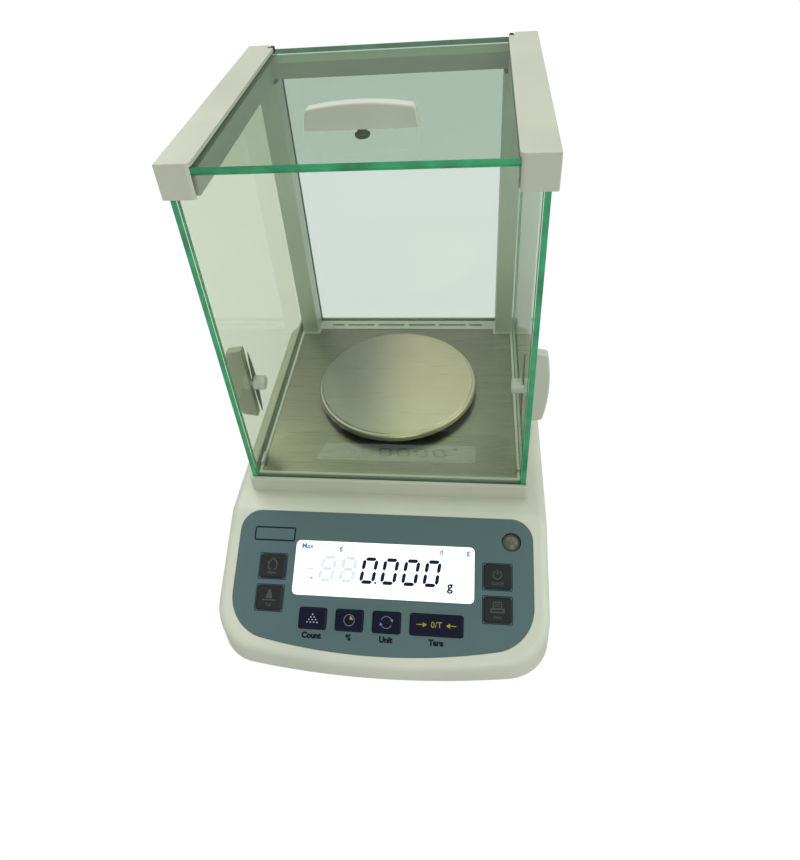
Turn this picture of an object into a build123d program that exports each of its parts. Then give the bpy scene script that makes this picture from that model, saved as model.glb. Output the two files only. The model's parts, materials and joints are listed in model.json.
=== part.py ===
"""Precision balance: a weighing pan in a glass draft shield, on a moulded housing with a sloping console.

Millimetres. X runs across the balance, the user stands on the -Y side, and Z is up from the bench.
The origin is on the bench, under the middle of the housing.
"""

import os
from math import cos, radians, sin, tan

from build123d import *

os.makedirs("parts", exist_ok=True)


# Driving sizes: housing
base_width = 217.0
base_length = 300.0
front_height = 13.8
foot_height = 8.5
console_angle = 26.4
console_run = 87.2
wall = 2.5
draft_angle = 1.0
crown_radius = 6.0
fold_radius = 14.0
front_corner_radius = 30.0
rear_corner_radius = 12.0
front_arc_radius = 600.0

# Driving sizes: draft shield
shield_side_margin = 12.5
shield_rear_gap = 7.0
shield_depth = 190.2
chamber_height = 210.4
frame_height = 12.4
glass_thickness = 3.2
glass_clearance = 0.3
channel_depth = 6.5
lip_width = 1.9
front_wall = 1.0
rail_width = 18.8
rail_overhang = 1.2
rail_height = 18.9
rail_front_setback = 1.2
rail_round = 3.0
roof_drop = 2.6
post_width = 13.3
post_depth = 21.6
post_wall = 1.6
post_door_gap = 1.2
beam_height = 10.9
beam_depth = 17.5
floor_sheet = 1.2
floor_drop = 0.6
tray_web = 2.0
socket_depth = 8.0
groove_depth = 6.1
bar_width = 11.6
slot_width = 2.6
slot_lengths = (11.0, 23.4, 23.4, 23.4, 23.4, 11.0)
slot_gap = 3.1
slot_depth = 4.0
guide_setback = 5.5
guide_length = 10.2
guide_height = 2.5
corner_bead = 1.5
glass_setback = 0.2
post_setback = 0.4
door_lap = 8.3
rear_notch_width = 4.0
rear_notch_length = 7.0

# Driving sizes: pan and its carrier
pan_radius = 60.4
pan_sheet = 1.0
pan_lip = 5.0
pan_top_height = 9.5
pan_step = 0.5
pan_step_width = 3.0
pan_rim_round = 1.6
load_pin_radius = 3.0
pin_rise = 4.6
carrier_hub_radius = 12.0
carrier_reach = 42.0
carrier_rise = 2.4
carrier_hub_roof = 1.5
carrier_arm_width = 9.0
carrier_arm_height = 3.0
pad_radius = 4.0
collar_radius = 6.0
collar_sheet = 1.2
collar_height = 1.4

# Driving sizes: console
panel_setback = 1.5
panel_margin = 10.5
panel_height = 88.9
panel_sheet = 0.8
panel_proud = 0.2
panel_arc_radius = 400.0
panel_top_radius = 14.0
panel_low_radius = 28.0
display_side_margin = 38.6
console_shift = 1.3
display_height = 35.2
display_middle = 36.8
display_corner = 3.0
key_width = 18.0
key_height = 13.0
key_gap = 6.0
tare_width = 33.5
key_row_middle = 68.5
side_key_width = 17.0
side_key_height = 15.0
side_key_inset = 24.0
side_key_upper = 37.0
side_key_lower = 57.3
key_proud = 1.3
key_corner = 1.4
key_clearance = 0.3
key_travel = 0.6
level_radius = 6.3
level_inset = 15.0
level_middle = 14.5

# Driving sizes: feet, doors' handles and sockets
foot_pad_radius = 10.0
foot_pad_height = 2.4
foot_wheel_radius = 12.0
foot_wheel_height = 4.2
foot_hub_radius = 6.0
stud_radius = 4.0
foot_side_inset = 23.5
foot_front_inset = 38.0
foot_rear_inset = 24.0
handle_length = 60.0
handle_height = 13.5
handle_end_height = 10.8
handle_thickness = 6.5
handle_lean = 1.8
handle_from_front = 40.0
side_handle_height = 54.5
roof_handle_from_front = 45.7
handle_stud_radius = 2.3
handle_nut_radius = 5.0
handle_nut_length = 7.6
handle_round = 2.5
handle_edge = 1.2
handle_bore = 8.0
roof_screw_radius = 4.0
roof_screw_height = 2.0
fit_clearance = 0.05
seat_clearance = 0.3
port_width = 31.0
port_height = 12.6
port_shell_width = 17.4
port_shell_height = 8.8
port_screw_spacing = 25.0
port_screw_radius = 2.4
jack_radius = 5.4


# Heights and places worked out from the driving sizes
console_slope = tan(radians(console_angle))
housing_height = front_height + console_run * console_slope
rim_z = foot_height
top_z = rim_z + housing_height
deck_z = top_z + frame_height
rail_z = deck_z + chamber_height
crown_z = rail_z + rail_height
roof_z = crown_z - roof_drop
pan_z = deck_z + pan_top_height
front_y = -base_length / 2
rear_y = base_length / 2
fold_y = front_y + console_run
shield_rear = rear_y - shield_rear_gap
shield_front = shield_rear - shield_depth
shield_half = base_width / 2 - shield_side_margin
pan_y = shield_front + shield_depth / 2
slot = glass_thickness + 2 * glass_clearance

# Shield channels, from the outside of the frame inwards
door_outer = shield_half - lip_width - glass_clearance
door_inner = door_outer - glass_thickness
inner_lip = door_inner - glass_clearance - lip_width
rail_outer = shield_half + rail_overhang
rail_inner = rail_outer - rail_width
groove_front = shield_front + rail_front_setback + front_wall
glass_front = groove_front + glass_clearance
glass_rear = shield_rear - glass_setback
post_outer = door_inner - post_door_gap
post_inner = post_outer - post_width
post_rear = shield_rear - post_setback
post_front = post_rear - post_depth
rear_slot_rear = shield_rear - lip_width
rear_slot_front = rear_slot_rear - slot
bar_front = rear_slot_front - bar_width
glass_bottom = deck_z - channel_depth + glass_clearance
roof_underside = roof_z - glass_thickness
beam_top = roof_underside - 2 * glass_clearance
beam_bottom = beam_top - beam_height
beam_rear = post_rear
beam_front = beam_rear - beam_depth
tray_floor = deck_z - floor_drop - floor_sheet
front_lip_rear = groove_front + slot + lip_width
guide_middle = front_lip_rear + guide_setback + guide_length / 2
door_top = rail_z + door_lap
side_handle_y = shield_front + handle_from_front
side_handle_z = deck_z + side_handle_height
roof_handle_y = shield_front + roof_handle_from_front

# The console plane: its local X is the balance's X, and its local Y runs up the slope
console = Plane(
    origin=(0, fold_y, top_z),
    x_dir=(1, 0, 0),
    z_dir=(0, -sin(radians(console_angle)), cos(radians(console_angle))),
)


def console_at(depth):
    """The plane that lies this far under the console's surface."""
    return console.offset(-depth)


def down(distance):
    """Local Y on the console of a point this far below the panel's top edge."""
    return -(panel_setback + distance)


def save(part, name):
    """Label a finished piece and write it to its own file."""
    part.label = name
    export_step(part, f"parts/{name}.step")


# Console layout: centre across, centre below the panel's top edge, width and height of each key
panel_half = base_width / 2 - panel_margin
panel_bow = panel_half**2 / (2 * panel_arc_radius)
display_width = 2 * (panel_half - display_side_margin)
left_keys_x = console_shift - panel_half + side_key_inset
right_keys_x = console_shift + panel_half - side_key_inset
key_pitch = key_width + key_gap
key_row_start = console_shift - (3 * key_pitch + tare_width) / 2
tare_x = key_row_start + 3 * key_pitch + tare_width / 2
level_x = console_shift + panel_half - level_inset
keys = {
    "menu": (left_keys_x, side_key_upper, side_key_width, side_key_height),
    "cal": (left_keys_x, side_key_lower, side_key_width, side_key_height),
    "power": (right_keys_x, side_key_upper, side_key_width, side_key_height),
    "print": (right_keys_x, side_key_lower, side_key_width, side_key_height),
    "tare": (tare_x, key_row_middle, tare_width, key_height),
}
for index, key_name in enumerate(["count", "percent", "unit"]):
    key_x = key_row_start + index * key_pitch + key_width / 2
    keys[key_name] = (key_x, key_row_middle, key_width, key_height)

# Depths under the console's surface of what is stacked behind it
panel_seat = panel_sheet - panel_proud
flange_top = wall + key_clearance
flange_sheet = 1.0
flange_margin = 1.2
stem_radius = 2.5
stem_end = flange_top + flange_sheet + 1.2
plunger_height = 0.6
plunger_radius = 1.7
switch_size = 6.2
switch_height = 3.0
switch_top = stem_end + key_travel + seat_clearance
keypad_depth = switch_top + plunger_height + switch_height
board_sheet = 1.6
display_top = panel_seat + fit_clearance
keypad_post_radius = 3.0
keypad_half = panel_half - 6.0
post_rows = (15.0, 47.0, 76.0)
post_columns = (56.0, panel_half - 9.5, 62.0)
keypad_posts = [(side * x, down(row)) for x, row in zip(post_columns, post_rows) for side in (-1, 1)]

# Feet, screws and sockets: where they are
foot_x = base_width / 2 - foot_side_inset
foot_places = {
    "front_left": (-foot_x, front_y + foot_front_inset),
    "front_right": (foot_x, front_y + foot_front_inset),
    "rear_left": (-foot_x, rear_y - foot_rear_inset),
    "rear_right": (foot_x, rear_y - foot_rear_inset),
}
plate_sheet = 2.0
plate_top = rim_z + plate_sheet
plate_boss_radius = 8.0
plate_boss_height = 6.0
boss_radius = 5.0
plate_screw_radius = 1.5
plate_screw_length = 10.0
boss_x = base_width / 2 - 7.0
boss_places = [(side * boss_x, y) for side in (-1, 1) for y in (front_y + 62.0, 0.0, rear_y - 50.0)]
shield_screw_radius = 2.0
shield_screw_x = shield_half - 32.0
shield_screw_ys = (shield_front + 26.0, shield_rear - 42.0)
shield_screw_places = [(side * shield_screw_x, y) for side in (-1, 1) for y in shield_screw_ys]
shield_screw_bite = 6.0
shield_boss_radius = 5.0
pin_hole_radius = 9.0
cell_floor = rim_z + 4.0
main_board_z = rim_z + 7.0
socket_z = rim_z + 22.0
jack_x = -72.0
port_x = -34.0
port_slant = 1.4
port_corner = 2.0
port_screw_places = [(port_x + side * port_screw_spacing / 2, socket_z) for side in (-1, 1)]
port_flange_sheet = 1.0
port_body_depth = 7.0
port_shell_sheet = 0.8
port_shell_hollow = 4.6
port_pin_radius = 0.5
port_pin_pitch = 2.7
port_pin_row = 1.4
jack_body_half = 6.4
jack_body_depth = 9.0
jack_bore_radius = 2.9
jack_bore_depth = 8.0
jack_pin_radius = 1.0
port_face = rear_y - 0.6
port_flange = rear_y - wall - (socket_z + port_height / 2 - rim_z) * tan(radians(draft_angle)) - 0.1


# Feet and small fixings: sizes along their axes
foot_pad_round = 0.8
foot_wheel_z = foot_pad_height + seat_clearance
foot_stud_length = 17.0
foot_hub_top = rim_z - seat_clearance
foot_stud_chamfer = 0.8
pivot_radius = 3.0
pivot_depth = 1.2
plate_head_radius = 2.8
plate_head_height = 1.6
cell_pads = [(side * 26.0, y) for side in (-1, 1) for y in (28.0, 124.0)]
vent_count = 5
vent_start = -96.0
vent_pitch = 7.0
vent_length = 60.0
vent_width = 2.2

# Draft shield: rounded edges, screws and hidden pockets
tray_corner_radius = 2.5
slot_run = sum(slot_lengths) + slot_gap * (len(slot_lengths) - 1)
slot_starts = [-slot_run / 2 + sum(slot_lengths[:i]) + i * slot_gap for i in range(len(slot_lengths))]
slot_middles = [start + length / 2 for start, length in zip(slot_starts, slot_lengths)]
edge_round = 0.8
pocket_inset = 6.0
shield_head_radius = 3.6
shield_head_height = 2.4
rail_groove_top = roof_z + glass_clearance
rail_groove_bottom = roof_underside - glass_clearance
beam_bite = 3.0
rear_glass_half = post_inner + groove_depth - glass_clearance
roof_half = rail_inner + groove_depth - glass_clearance
bumper_width = 3.2
bumper_length = 6.0
bumper_height = 2.4

# Weighing cell: where its pieces lie
cell_half = 34.0
cell_front = pan_y - 24.0
cell_rear = rear_y - 10.0
cell_slab = 6.0
pillar_front = pan_y + 40.0
pillar_depth = 12.0
guide_sheet = 1.2
guide_half = 22.0
guide_window_half = 13.0
lower_guide_z = rim_z + 17.5
cell_top = top_z - 13.6
hanger_half = 11.0
hanger_depth = 16.0
lever_half = 7.0
lever_height = 8.0
lever_z = rim_z + 27.0
magnet_radius = 16.0
magnet_y = pillar_front + pillar_depth + magnet_radius + 1.0
magnet_top = lever_z - 2.5
coil_inner = 9.5
coil_outer = 11.5
coil_depth = 8.0
coil_gap = 0.7
sensor_half = 6.0
sensor_depth = 5.0
sensor_front = magnet_y + magnet_radius + 0.6
lever_rear = sensor_front - 0.5

# Main board: where its standoffs and larger components stand
board_half = 72.0
board_front = front_y + 38.0
board_rear = fold_y + 32.0
standoff_radius = 3.0
standoff_places = [
    (side * (board_half - 6.0), y) for side in (-1, 1) for y in (board_front + 6.0, board_rear - 6.0)
]
board_blocks = [
    (-46.0, board_rear - 20.0, 26.0, 22.0, 14.0),
    (20.0, board_rear - 24.0, 18.0, 18.0, 2.0),
    (46.0, board_rear - 26.0, 12.0, 12.0, 2.0),
    (-20.0, board_front + 16.0, 10.0, 16.0, 2.0),
    (30.0, board_front + 12.0, 34.0, 5.0, 6.0),
]
capacitor_places = [(-20.0, board_rear - 16.0), (-6.0, board_rear - 16.0)]
capacitor_radius = 5.0
capacitor_height = 11.0

# Keys, switch board and bubble level
key_edge = 0.8
keypad_top = 10.0
keypad_low = 82.0
level_notch = 11.0
level_notch_depth = 21.0
level_y = fold_y - (panel_setback + level_middle) * cos(radians(console_angle))
level_surface_z = top_z - (panel_setback + level_middle) * sin(radians(console_angle))
level_vial_radius = 6.6
level_vial_height = 8.0
level_vial_chamfer = 0.5
level_cup_wall = 1.6
level_wall_drop = wall / cos(radians(console_angle)) + fit_clearance
level_floor_z = level_surface_z - level_vial_radius * console_slope - level_wall_drop - level_vial_height


# Housing: one moulded shell, open below
def housing_plan(inset):
    """Plan of the housing at its rim: straight sides, a bowed front and rounded corners."""
    half = base_width / 2 - inset
    front = front_y + inset
    rear = rear_y - inset
    bow = front_arc_radius - (front_arc_radius**2 - half**2) ** 0.5
    with BuildSketch() as plan:
        with BuildLine():
            Polyline((half, front + bow), (half, rear), (-half, rear), (-half, front + bow))
            ThreePointArc((-half, front + bow), (0, front), (half, front + bow))
        make_face()
        fillet(plan.vertices().group_by(Axis.Y)[0], front_corner_radius - inset)
        fillet(plan.vertices().group_by(Axis.Y)[-1], rear_corner_radius - inset)
    return plan.sketch


def is_crown(edge):
    """True for the edges that run round the top of the housing, where its walls meet the upper faces."""
    middle = edge.center()
    upright = abs(edge.tangent_at(0.5).Z) > 0.9
    across = edge.geom_type == GeomType.LINE and abs(middle.X) < 1 and middle.Y < rear_y - rear_corner_radius
    return middle.Z > rim_z + 1 and not upright and not across


def panel_plan(margin):
    """Outline of the control panel on the console: flat top, straight sides and a bowed lower edge."""
    low = panel_height - panel_bow
    with BuildSketch() as outline:
        with BuildLine():
            Polyline(
                (panel_half, down(low)),
                (panel_half, down(0)),
                (-panel_half, down(0)),
                (-panel_half, down(low)),
            )
            ThreePointArc((-panel_half, down(low)), (0, down(panel_height)), (panel_half, down(low)))
        make_face()
        fillet(outline.vertices().group_by(Axis.Y)[0], panel_low_radius)
        fillet(outline.vertices().group_by(Axis.Y)[-1], panel_top_radius)
        offset(amount=margin)
    return outline.sketch


def console_openings(margin):
    """The display, key and level openings of the console, each wider than its piece by the margin."""
    with BuildSketch() as openings:
        with Locations((console_shift, down(display_middle))):
            RectangleRounded(display_width + 2 * margin, display_height + 2 * margin, display_corner)
        for x, below, width, height in keys.values():
            with Locations((x, down(below))):
                RectangleRounded(width + 2 * margin, height + 2 * margin, key_corner + margin)
        with Locations((level_x, down(level_middle))):
            Circle(level_radius)
    return openings.sketch


def port_shell(margin):
    """Outline of the serial port's shell, a rounded shape that is wider at the top."""
    half = port_shell_width / 2
    with BuildSketch() as port:
        with BuildLine():
            Polyline(
                (-half, port_shell_height / 2),
                (half, port_shell_height / 2),
                (half - port_slant, -port_shell_height / 2),
                (-half + port_slant, -port_shell_height / 2),
                close=True,
            )
        make_face()
        fillet(port.vertices(), port_corner)
        offset(amount=margin)
    return port.sketch


with BuildPart() as housing_form:
    with BuildSketch(Plane.XY.offset(rim_z)):
        add(housing_plan(0))
    extrude(amount=housing_height, taper=draft_angle)
    with BuildSketch(Plane.YZ) as side:
        with BuildLine():
            Polyline(
                (front_y, rim_z),
                (front_y, rim_z + front_height),
                (fold_y, top_z),
                (rear_y, top_z),
                (rear_y, rim_z),
                close=True,
            )
        make_face()
        fillet(side.vertices().filter_by(lambda v: abs(v.X - fold_y) < 1), fold_radius)
    extrude(amount=base_width / 2, both=True, mode=Mode.INTERSECT)
    fillet(housing_form.edges().filter_by(is_crown), crown_radius)

with BuildPart() as housing_bosses:
    with BuildSketch(Plane.XY.offset(plate_top)):
        with Locations(*boss_places):
            Circle(boss_radius)
            Circle(plate_screw_radius + fit_clearance, mode=Mode.SUBTRACT)
    extrude(amount=housing_height)
    with BuildSketch(Plane.XY.offset(plate_top + plate_screw_length)):
        with Locations(*boss_places):
            Circle(boss_radius)
    extrude(amount=housing_height)
    add(housing_form.part, mode=Mode.INTERSECT)

with BuildPart() as housing:
    add(housing_form.part)
    offset(amount=-wall, openings=housing.faces().sort_by(Axis.Z)[0])
    add(housing_bosses.part)
    with BuildSketch(console_at(keypad_depth)):
        with Locations(*keypad_posts):
            Circle(keypad_post_radius)
    extrude(amount=keypad_depth - wall / 2)
    with BuildSketch(console_at(panel_seat)):
        add(panel_plan(seat_clearance))
    extrude(amount=wall, mode=Mode.SUBTRACT)
    with BuildSketch(console_at(2 * wall)):
        add(console_openings(seat_clearance))
    extrude(amount=3 * wall, mode=Mode.SUBTRACT)
    with BuildSketch(Plane.XY.offset(top_z)):
        with Locations((0, pan_y)):
            Circle(pin_hole_radius)
        with Locations(*shield_screw_places):
            Circle(shield_screw_radius + seat_clearance)
    extrude(amount=-2 * wall, mode=Mode.SUBTRACT)
    with BuildSketch(Plane.XZ.offset(-rear_y)):
        with Locations((jack_x, socket_z)):
            Circle(jack_radius + seat_clearance)
        with Locations((port_x, socket_z)):
            add(port_shell(seat_clearance))
        with Locations(*port_screw_places):
            Circle(port_screw_radius + seat_clearance)
    extrude(amount=2 * wall, both=True, mode=Mode.SUBTRACT)
save(housing.part, "base_housing")

# Bottom plate with the four threaded feet seats
with BuildPart() as base_plate:
    with BuildSketch(Plane.XY.offset(rim_z)):
        add(housing_plan(wall + seat_clearance))
    extrude(amount=plate_sheet)
    with BuildSketch(Plane.XY.offset(plate_top)):
        with Locations(*foot_places.values()):
            Circle(plate_boss_radius)
    extrude(amount=plate_boss_height)
    with BuildSketch(Plane.XY.offset(plate_top)):
        with Locations(*cell_pads):
            Circle(boss_radius)
    extrude(amount=cell_floor - plate_top)
    with BuildSketch(Plane.XY.offset(rim_z)):
        with Locations(*foot_places.values()):
            Circle(stud_radius + fit_clearance)
        with Locations(*boss_places):
            Circle(plate_screw_radius + seat_clearance)
    extrude(amount=plate_sheet + plate_boss_height, mode=Mode.SUBTRACT)
    with BuildSketch(Plane.XY.offset(rim_z)):
        for row in range(vent_count):
            with Locations((0, vent_start + row * vent_pitch)):
                SlotOverall(vent_length, vent_width)
    extrude(amount=plate_sheet, mode=Mode.SUBTRACT)
save(base_plate.part, "base_plate")

with BuildPart() as base_plate_screws:
    with BuildSketch(Plane.XY.offset(rim_z)):
        with Locations(*boss_places):
            Circle(plate_head_radius)
    extrude(amount=-plate_head_height)
    with BuildSketch(Plane.XY.offset(rim_z)):
        with Locations(*boss_places):
            Circle(plate_screw_radius)
    extrude(amount=plate_screw_length)
save(base_plate_screws.part, "base_plate_screws")


# Adjustable feet: a rubber pad, and a wheel on a stud that turns in the bottom plate up to its hub
for foot_name, (foot_at_x, foot_at_y) in foot_places.items():
    with BuildPart() as foot_pad:
        with BuildSketch(Plane.XY):
            with Locations((foot_at_x, foot_at_y)):
                Circle(foot_pad_radius)
        extrude(amount=foot_pad_height)
        chamfer(foot_pad.edges().group_by(Axis.Z)[-1], foot_pad_round)
        with BuildSketch(Plane.XY.offset(foot_pad_height)):
            with Locations((foot_at_x, foot_at_y)):
                Circle(pivot_radius + fit_clearance)
        extrude(amount=-pivot_depth - seat_clearance, mode=Mode.SUBTRACT)
    save(foot_pad.part, f"foot_pad_{foot_name}")

    with BuildPart() as foot_screw:
        with BuildSketch(Plane.XY.offset(foot_wheel_z)):
            with Locations((foot_at_x, foot_at_y)):
                Circle(foot_wheel_radius)
        extrude(amount=foot_wheel_height)
        chamfer(foot_screw.edges(), foot_pad_round)
        with BuildSketch(Plane.XY.offset(foot_wheel_z)):
            with Locations((foot_at_x, foot_at_y)):
                Circle(foot_hub_radius)
        extrude(amount=foot_hub_top - foot_wheel_z)
        with BuildSketch(Plane.XY.offset(foot_pad_height - pivot_depth)):
            with Locations((foot_at_x, foot_at_y)):
                Circle(pivot_radius)
        extrude(amount=foot_wheel_z - foot_pad_height + pivot_depth)
        with BuildSketch(Plane.XY.offset(foot_wheel_z + foot_wheel_height)):
            with Locations((foot_at_x, foot_at_y)):
                Circle(stud_radius)
        extrude(amount=foot_stud_length)
        chamfer(foot_screw.edges().group_by(Axis.Z)[-1], foot_stud_chamfer)
    save(foot_screw.part, f"foot_screw_{foot_name}")


# Console: printed panel, display, keys, switch board and bubble level
with BuildPart() as control_panel:
    with BuildSketch(console_at(panel_seat)):
        add(panel_plan(0))
        add(console_openings(seat_clearance), mode=Mode.SUBTRACT)
    extrude(amount=panel_sheet)
save(control_panel.part, "control_panel")

with BuildPart() as lcd_window:
    with BuildSketch(console_at(panel_seat)):
        with Locations((console_shift, down(display_middle))):
            RectangleRounded(display_width, display_height, display_corner)
    extrude(amount=panel_sheet)
save(lcd_window.part, "lcd_window")

with BuildPart() as lcd_module:
    with BuildSketch(console_at(keypad_depth)):
        with Locations((console_shift, down(display_middle))):
            RectangleRounded(display_width, display_height, display_corner)
    extrude(amount=keypad_depth - display_top)
save(lcd_module.part, "lcd_module")

for key_name, (key_x, key_below, width, height) in keys.items():
    key_place = (key_x, down(key_below))
    with BuildPart() as key:
        with BuildSketch(console_at(flange_top)):
            with Locations(key_place):
                RectangleRounded(width, height, key_corner)
        extrude(amount=flange_top + key_proud)
        chamfer(key.faces().sort_by(Axis(console.origin, console.z_dir))[-1].edges(), key_edge)
        with BuildSketch(console_at(flange_top + flange_sheet)):
            with Locations(key_place):
                RectangleRounded(width + 2 * flange_margin, height + 2 * flange_margin, key_corner)
        extrude(amount=flange_sheet)
        with BuildSketch(console_at(stem_end)):
            with Locations(key_place):
                Circle(stem_radius)
        extrude(amount=stem_end - flange_top)
    save(key.part, f"key_{key_name}")

with BuildPart() as keypad_board:
    with BuildSketch(console_at(keypad_depth + board_sheet)):
        with Locations((0, down((keypad_top + keypad_low) / 2))):
            Rectangle(2 * keypad_half, keypad_low - keypad_top)
        with Locations((keypad_half, down(keypad_top))):
            Rectangle(2 * (keypad_half - level_x + level_notch), 2 * level_notch_depth, mode=Mode.SUBTRACT)
    extrude(amount=board_sheet)
    for key_x, key_below, width, height in keys.values():
        with BuildSketch(console_at(keypad_depth)):
            with Locations((key_x, down(key_below))):
                Rectangle(switch_size, switch_size)
        extrude(amount=switch_height)
        with BuildSketch(console_at(keypad_depth)):
            with Locations((key_x, down(key_below))):
                Circle(plunger_radius)
        extrude(amount=switch_height + plunger_height)
save(keypad_board.part, "keypad_board")

with BuildPart() as level_cup:
    with BuildSketch(Plane.XY.offset(level_floor_z - level_cup_wall)):
        with Locations((level_x, level_y)):
            Circle(level_vial_radius + fit_clearance + level_cup_wall)
    extrude(amount=housing_height)
    with BuildSketch(Plane.XY.offset(level_floor_z)):
        with Locations((level_x, level_y)):
            Circle(level_vial_radius + fit_clearance)
    extrude(amount=housing_height, mode=Mode.SUBTRACT)
    with BuildSketch(console_at(wall)):
        Rectangle(2 * base_width, 2 * base_width)
    extrude(amount=housing_height + crown_z, mode=Mode.SUBTRACT)
save(level_cup.part, "level_cup")

with BuildPart() as level_vial:
    with BuildSketch(Plane.XY.offset(level_floor_z)):
        with Locations((level_x, level_y)):
            Circle(level_vial_radius)
    extrude(amount=level_vial_height)
    chamfer(level_vial.edges().group_by(Axis.Z)[-1], level_vial_chamfer)
save(level_vial.part, "level_vial")


# Draft shield: the frame it stands in
def tray_corners(margin):
    """Blocks in the tray's rear corners that stand a bead's width proud of the posts."""
    reach = corner_bead + margin
    with BuildSketch() as corners:
        for side in (-1, 1):
            with Locations((side * shield_half, bar_front)):
                Rectangle(2 * (shield_half - post_inner + reach), 2 * (bar_front - post_front + reach))
    return corners.sketch


with BuildPart() as shield_base_frame:
    with BuildSketch(Plane.XY.offset(top_z)):
        with Locations((0, (shield_front + shield_rear) / 2)):
            RectangleRounded(2 * shield_half, shield_depth, tray_corner_radius)
    extrude(amount=frame_height)
    fillet(shield_base_frame.edges().group_by(Axis.Z)[-1], edge_round)
    with BuildSketch(Plane.XY.offset(deck_z)):
        for side in (-1, 1):
            with Locations((side * (inner_lip + door_inner - seat_clearance) / 2, guide_middle)):
                Rectangle(door_inner - seat_clearance - inner_lip, guide_length)
    extrude(amount=guide_height)
    with BuildSketch(Plane.XY.offset(tray_floor)):
        with Locations((0, (front_lip_rear + bar_front) / 2)):
            Rectangle(2 * inner_lip, bar_front - front_lip_rear)
        add(tray_corners(0), mode=Mode.SUBTRACT)
    extrude(amount=frame_height, mode=Mode.SUBTRACT)
    with BuildSketch(Plane.XY.offset(deck_z - channel_depth)):
        door_groove = shield_rear + lip_width - groove_front
        for side in (-1, 1):
            with Locations((side * (door_inner + door_outer) / 2, groove_front + door_groove / 2)):
                Rectangle(slot, door_groove)
        with Locations((0, groove_front + slot / 2)):
            Rectangle(2 * door_inner, slot)
        with Locations((0, (rear_slot_front + rear_slot_rear) / 2)):
            Rectangle(2 * post_outer, slot)
    extrude(amount=channel_depth, mode=Mode.SUBTRACT)
    with BuildSketch(Plane.XY.offset(deck_z - socket_depth)):
        post_socket = shield_rear + lip_width - post_front
        for side in (-1, 1):
            with Locations((side * (post_inner + post_outer) / 2, post_front + post_socket / 2)):
                Rectangle(post_width + 2 * fit_clearance, post_socket + 2 * fit_clearance)
    extrude(amount=socket_depth, mode=Mode.SUBTRACT)
    with BuildSketch(Plane.XY.offset(deck_z)):
        for middle, length in zip(slot_middles, slot_lengths):
            with Locations((middle, (bar_front + rear_slot_front) / 2)):
                SlotOverall(length, slot_width)
    extrude(amount=-slot_depth, mode=Mode.SUBTRACT)
    with BuildSketch(Plane.XY.offset(top_z)):
        with Locations((0, (front_lip_rear + bar_front) / 2)):
            Rectangle(2 * (post_inner - pocket_inset), bar_front - front_lip_rear - 2 * pocket_inset)
        with Locations(*shield_screw_places):
            Circle(shield_boss_radius, mode=Mode.SUBTRACT)
    extrude(amount=tray_floor - tray_web - top_z, mode=Mode.SUBTRACT)
    with BuildSketch(Plane.XY.offset(top_z)):
        with Locations(*shield_screw_places):
            Circle(shield_screw_radius + fit_clearance)
    extrude(amount=shield_screw_bite + seat_clearance, mode=Mode.SUBTRACT)
    with BuildSketch(Plane.XY.offset(top_z)):
        with Locations((0, pan_y)):
            Circle(pin_hole_radius)
    extrude(amount=frame_height, mode=Mode.SUBTRACT)
save(shield_base_frame.part, "shield_base_frame")

with BuildPart() as shield_screws:
    with BuildSketch(Plane.XY.offset(top_z - wall)):
        with Locations(*shield_screw_places):
            Circle(shield_head_radius)
    extrude(amount=-shield_head_height)
    with BuildSketch(Plane.XY.offset(top_z - wall)):
        with Locations(*shield_screw_places):
            Circle(shield_screw_radius)
    extrude(amount=wall + shield_screw_bite)
save(shield_screws.part, "shield_screws")

with BuildPart() as floor_plate:
    with BuildSketch(Plane.XY.offset(tray_floor)):
        with Locations((0, (front_lip_rear + bar_front) / 2)):
            Rectangle(2 * (inner_lip - seat_clearance), bar_front - front_lip_rear - 2 * seat_clearance)
        add(tray_corners(seat_clearance), mode=Mode.SUBTRACT)
    extrude(amount=floor_sheet)
    with BuildSketch(Plane.XY.offset(tray_floor)):
        with Locations((0, pan_y)):
            Circle(collar_radius + collar_sheet)
    extrude(amount=floor_sheet + collar_height)
    with BuildSketch(Plane.XY.offset(tray_floor)):
        with Locations((0, pan_y)):
            Circle(collar_radius)
    extrude(amount=floor_sheet + collar_height, mode=Mode.SUBTRACT)
save(floor_plate.part, "floor_plate")


# Draft shield: posts, rails, rear crossbeam and fixed glass
def post_profile(side):
    """Hollow section of a rear post, with the groove that takes the rear glass on its inner side."""
    with BuildSketch() as profile:
        with Locations((side * (post_inner + post_outer) / 2, (post_front + post_rear) / 2)):
            Rectangle(post_width, post_depth)
        hollow_rear = rear_slot_front - post_wall
        with Locations((side * (post_inner + post_outer) / 2, (post_front + post_wall + hollow_rear) / 2)):
            Rectangle(post_width - 2 * post_wall, hollow_rear - post_front - post_wall, mode=Mode.SUBTRACT)
        with Locations((side * (post_inner + groove_depth / 2), (rear_slot_front + rear_slot_rear) / 2)):
            Rectangle(groove_depth, slot, mode=Mode.SUBTRACT)
    return profile.sketch


with BuildPart() as rear_left_post:
    with BuildSketch(Plane.XY.offset(deck_z - socket_depth)):
        add(post_profile(-1))
    extrude(amount=socket_depth + chamber_height)
save(rear_left_post.part, "rear_left_post")

with BuildPart() as rear_right_post:
    with BuildSketch(Plane.XY.offset(deck_z - socket_depth)):
        add(post_profile(1))
    extrude(amount=socket_depth + chamber_height)
save(rear_right_post.part, "rear_right_post")


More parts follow.
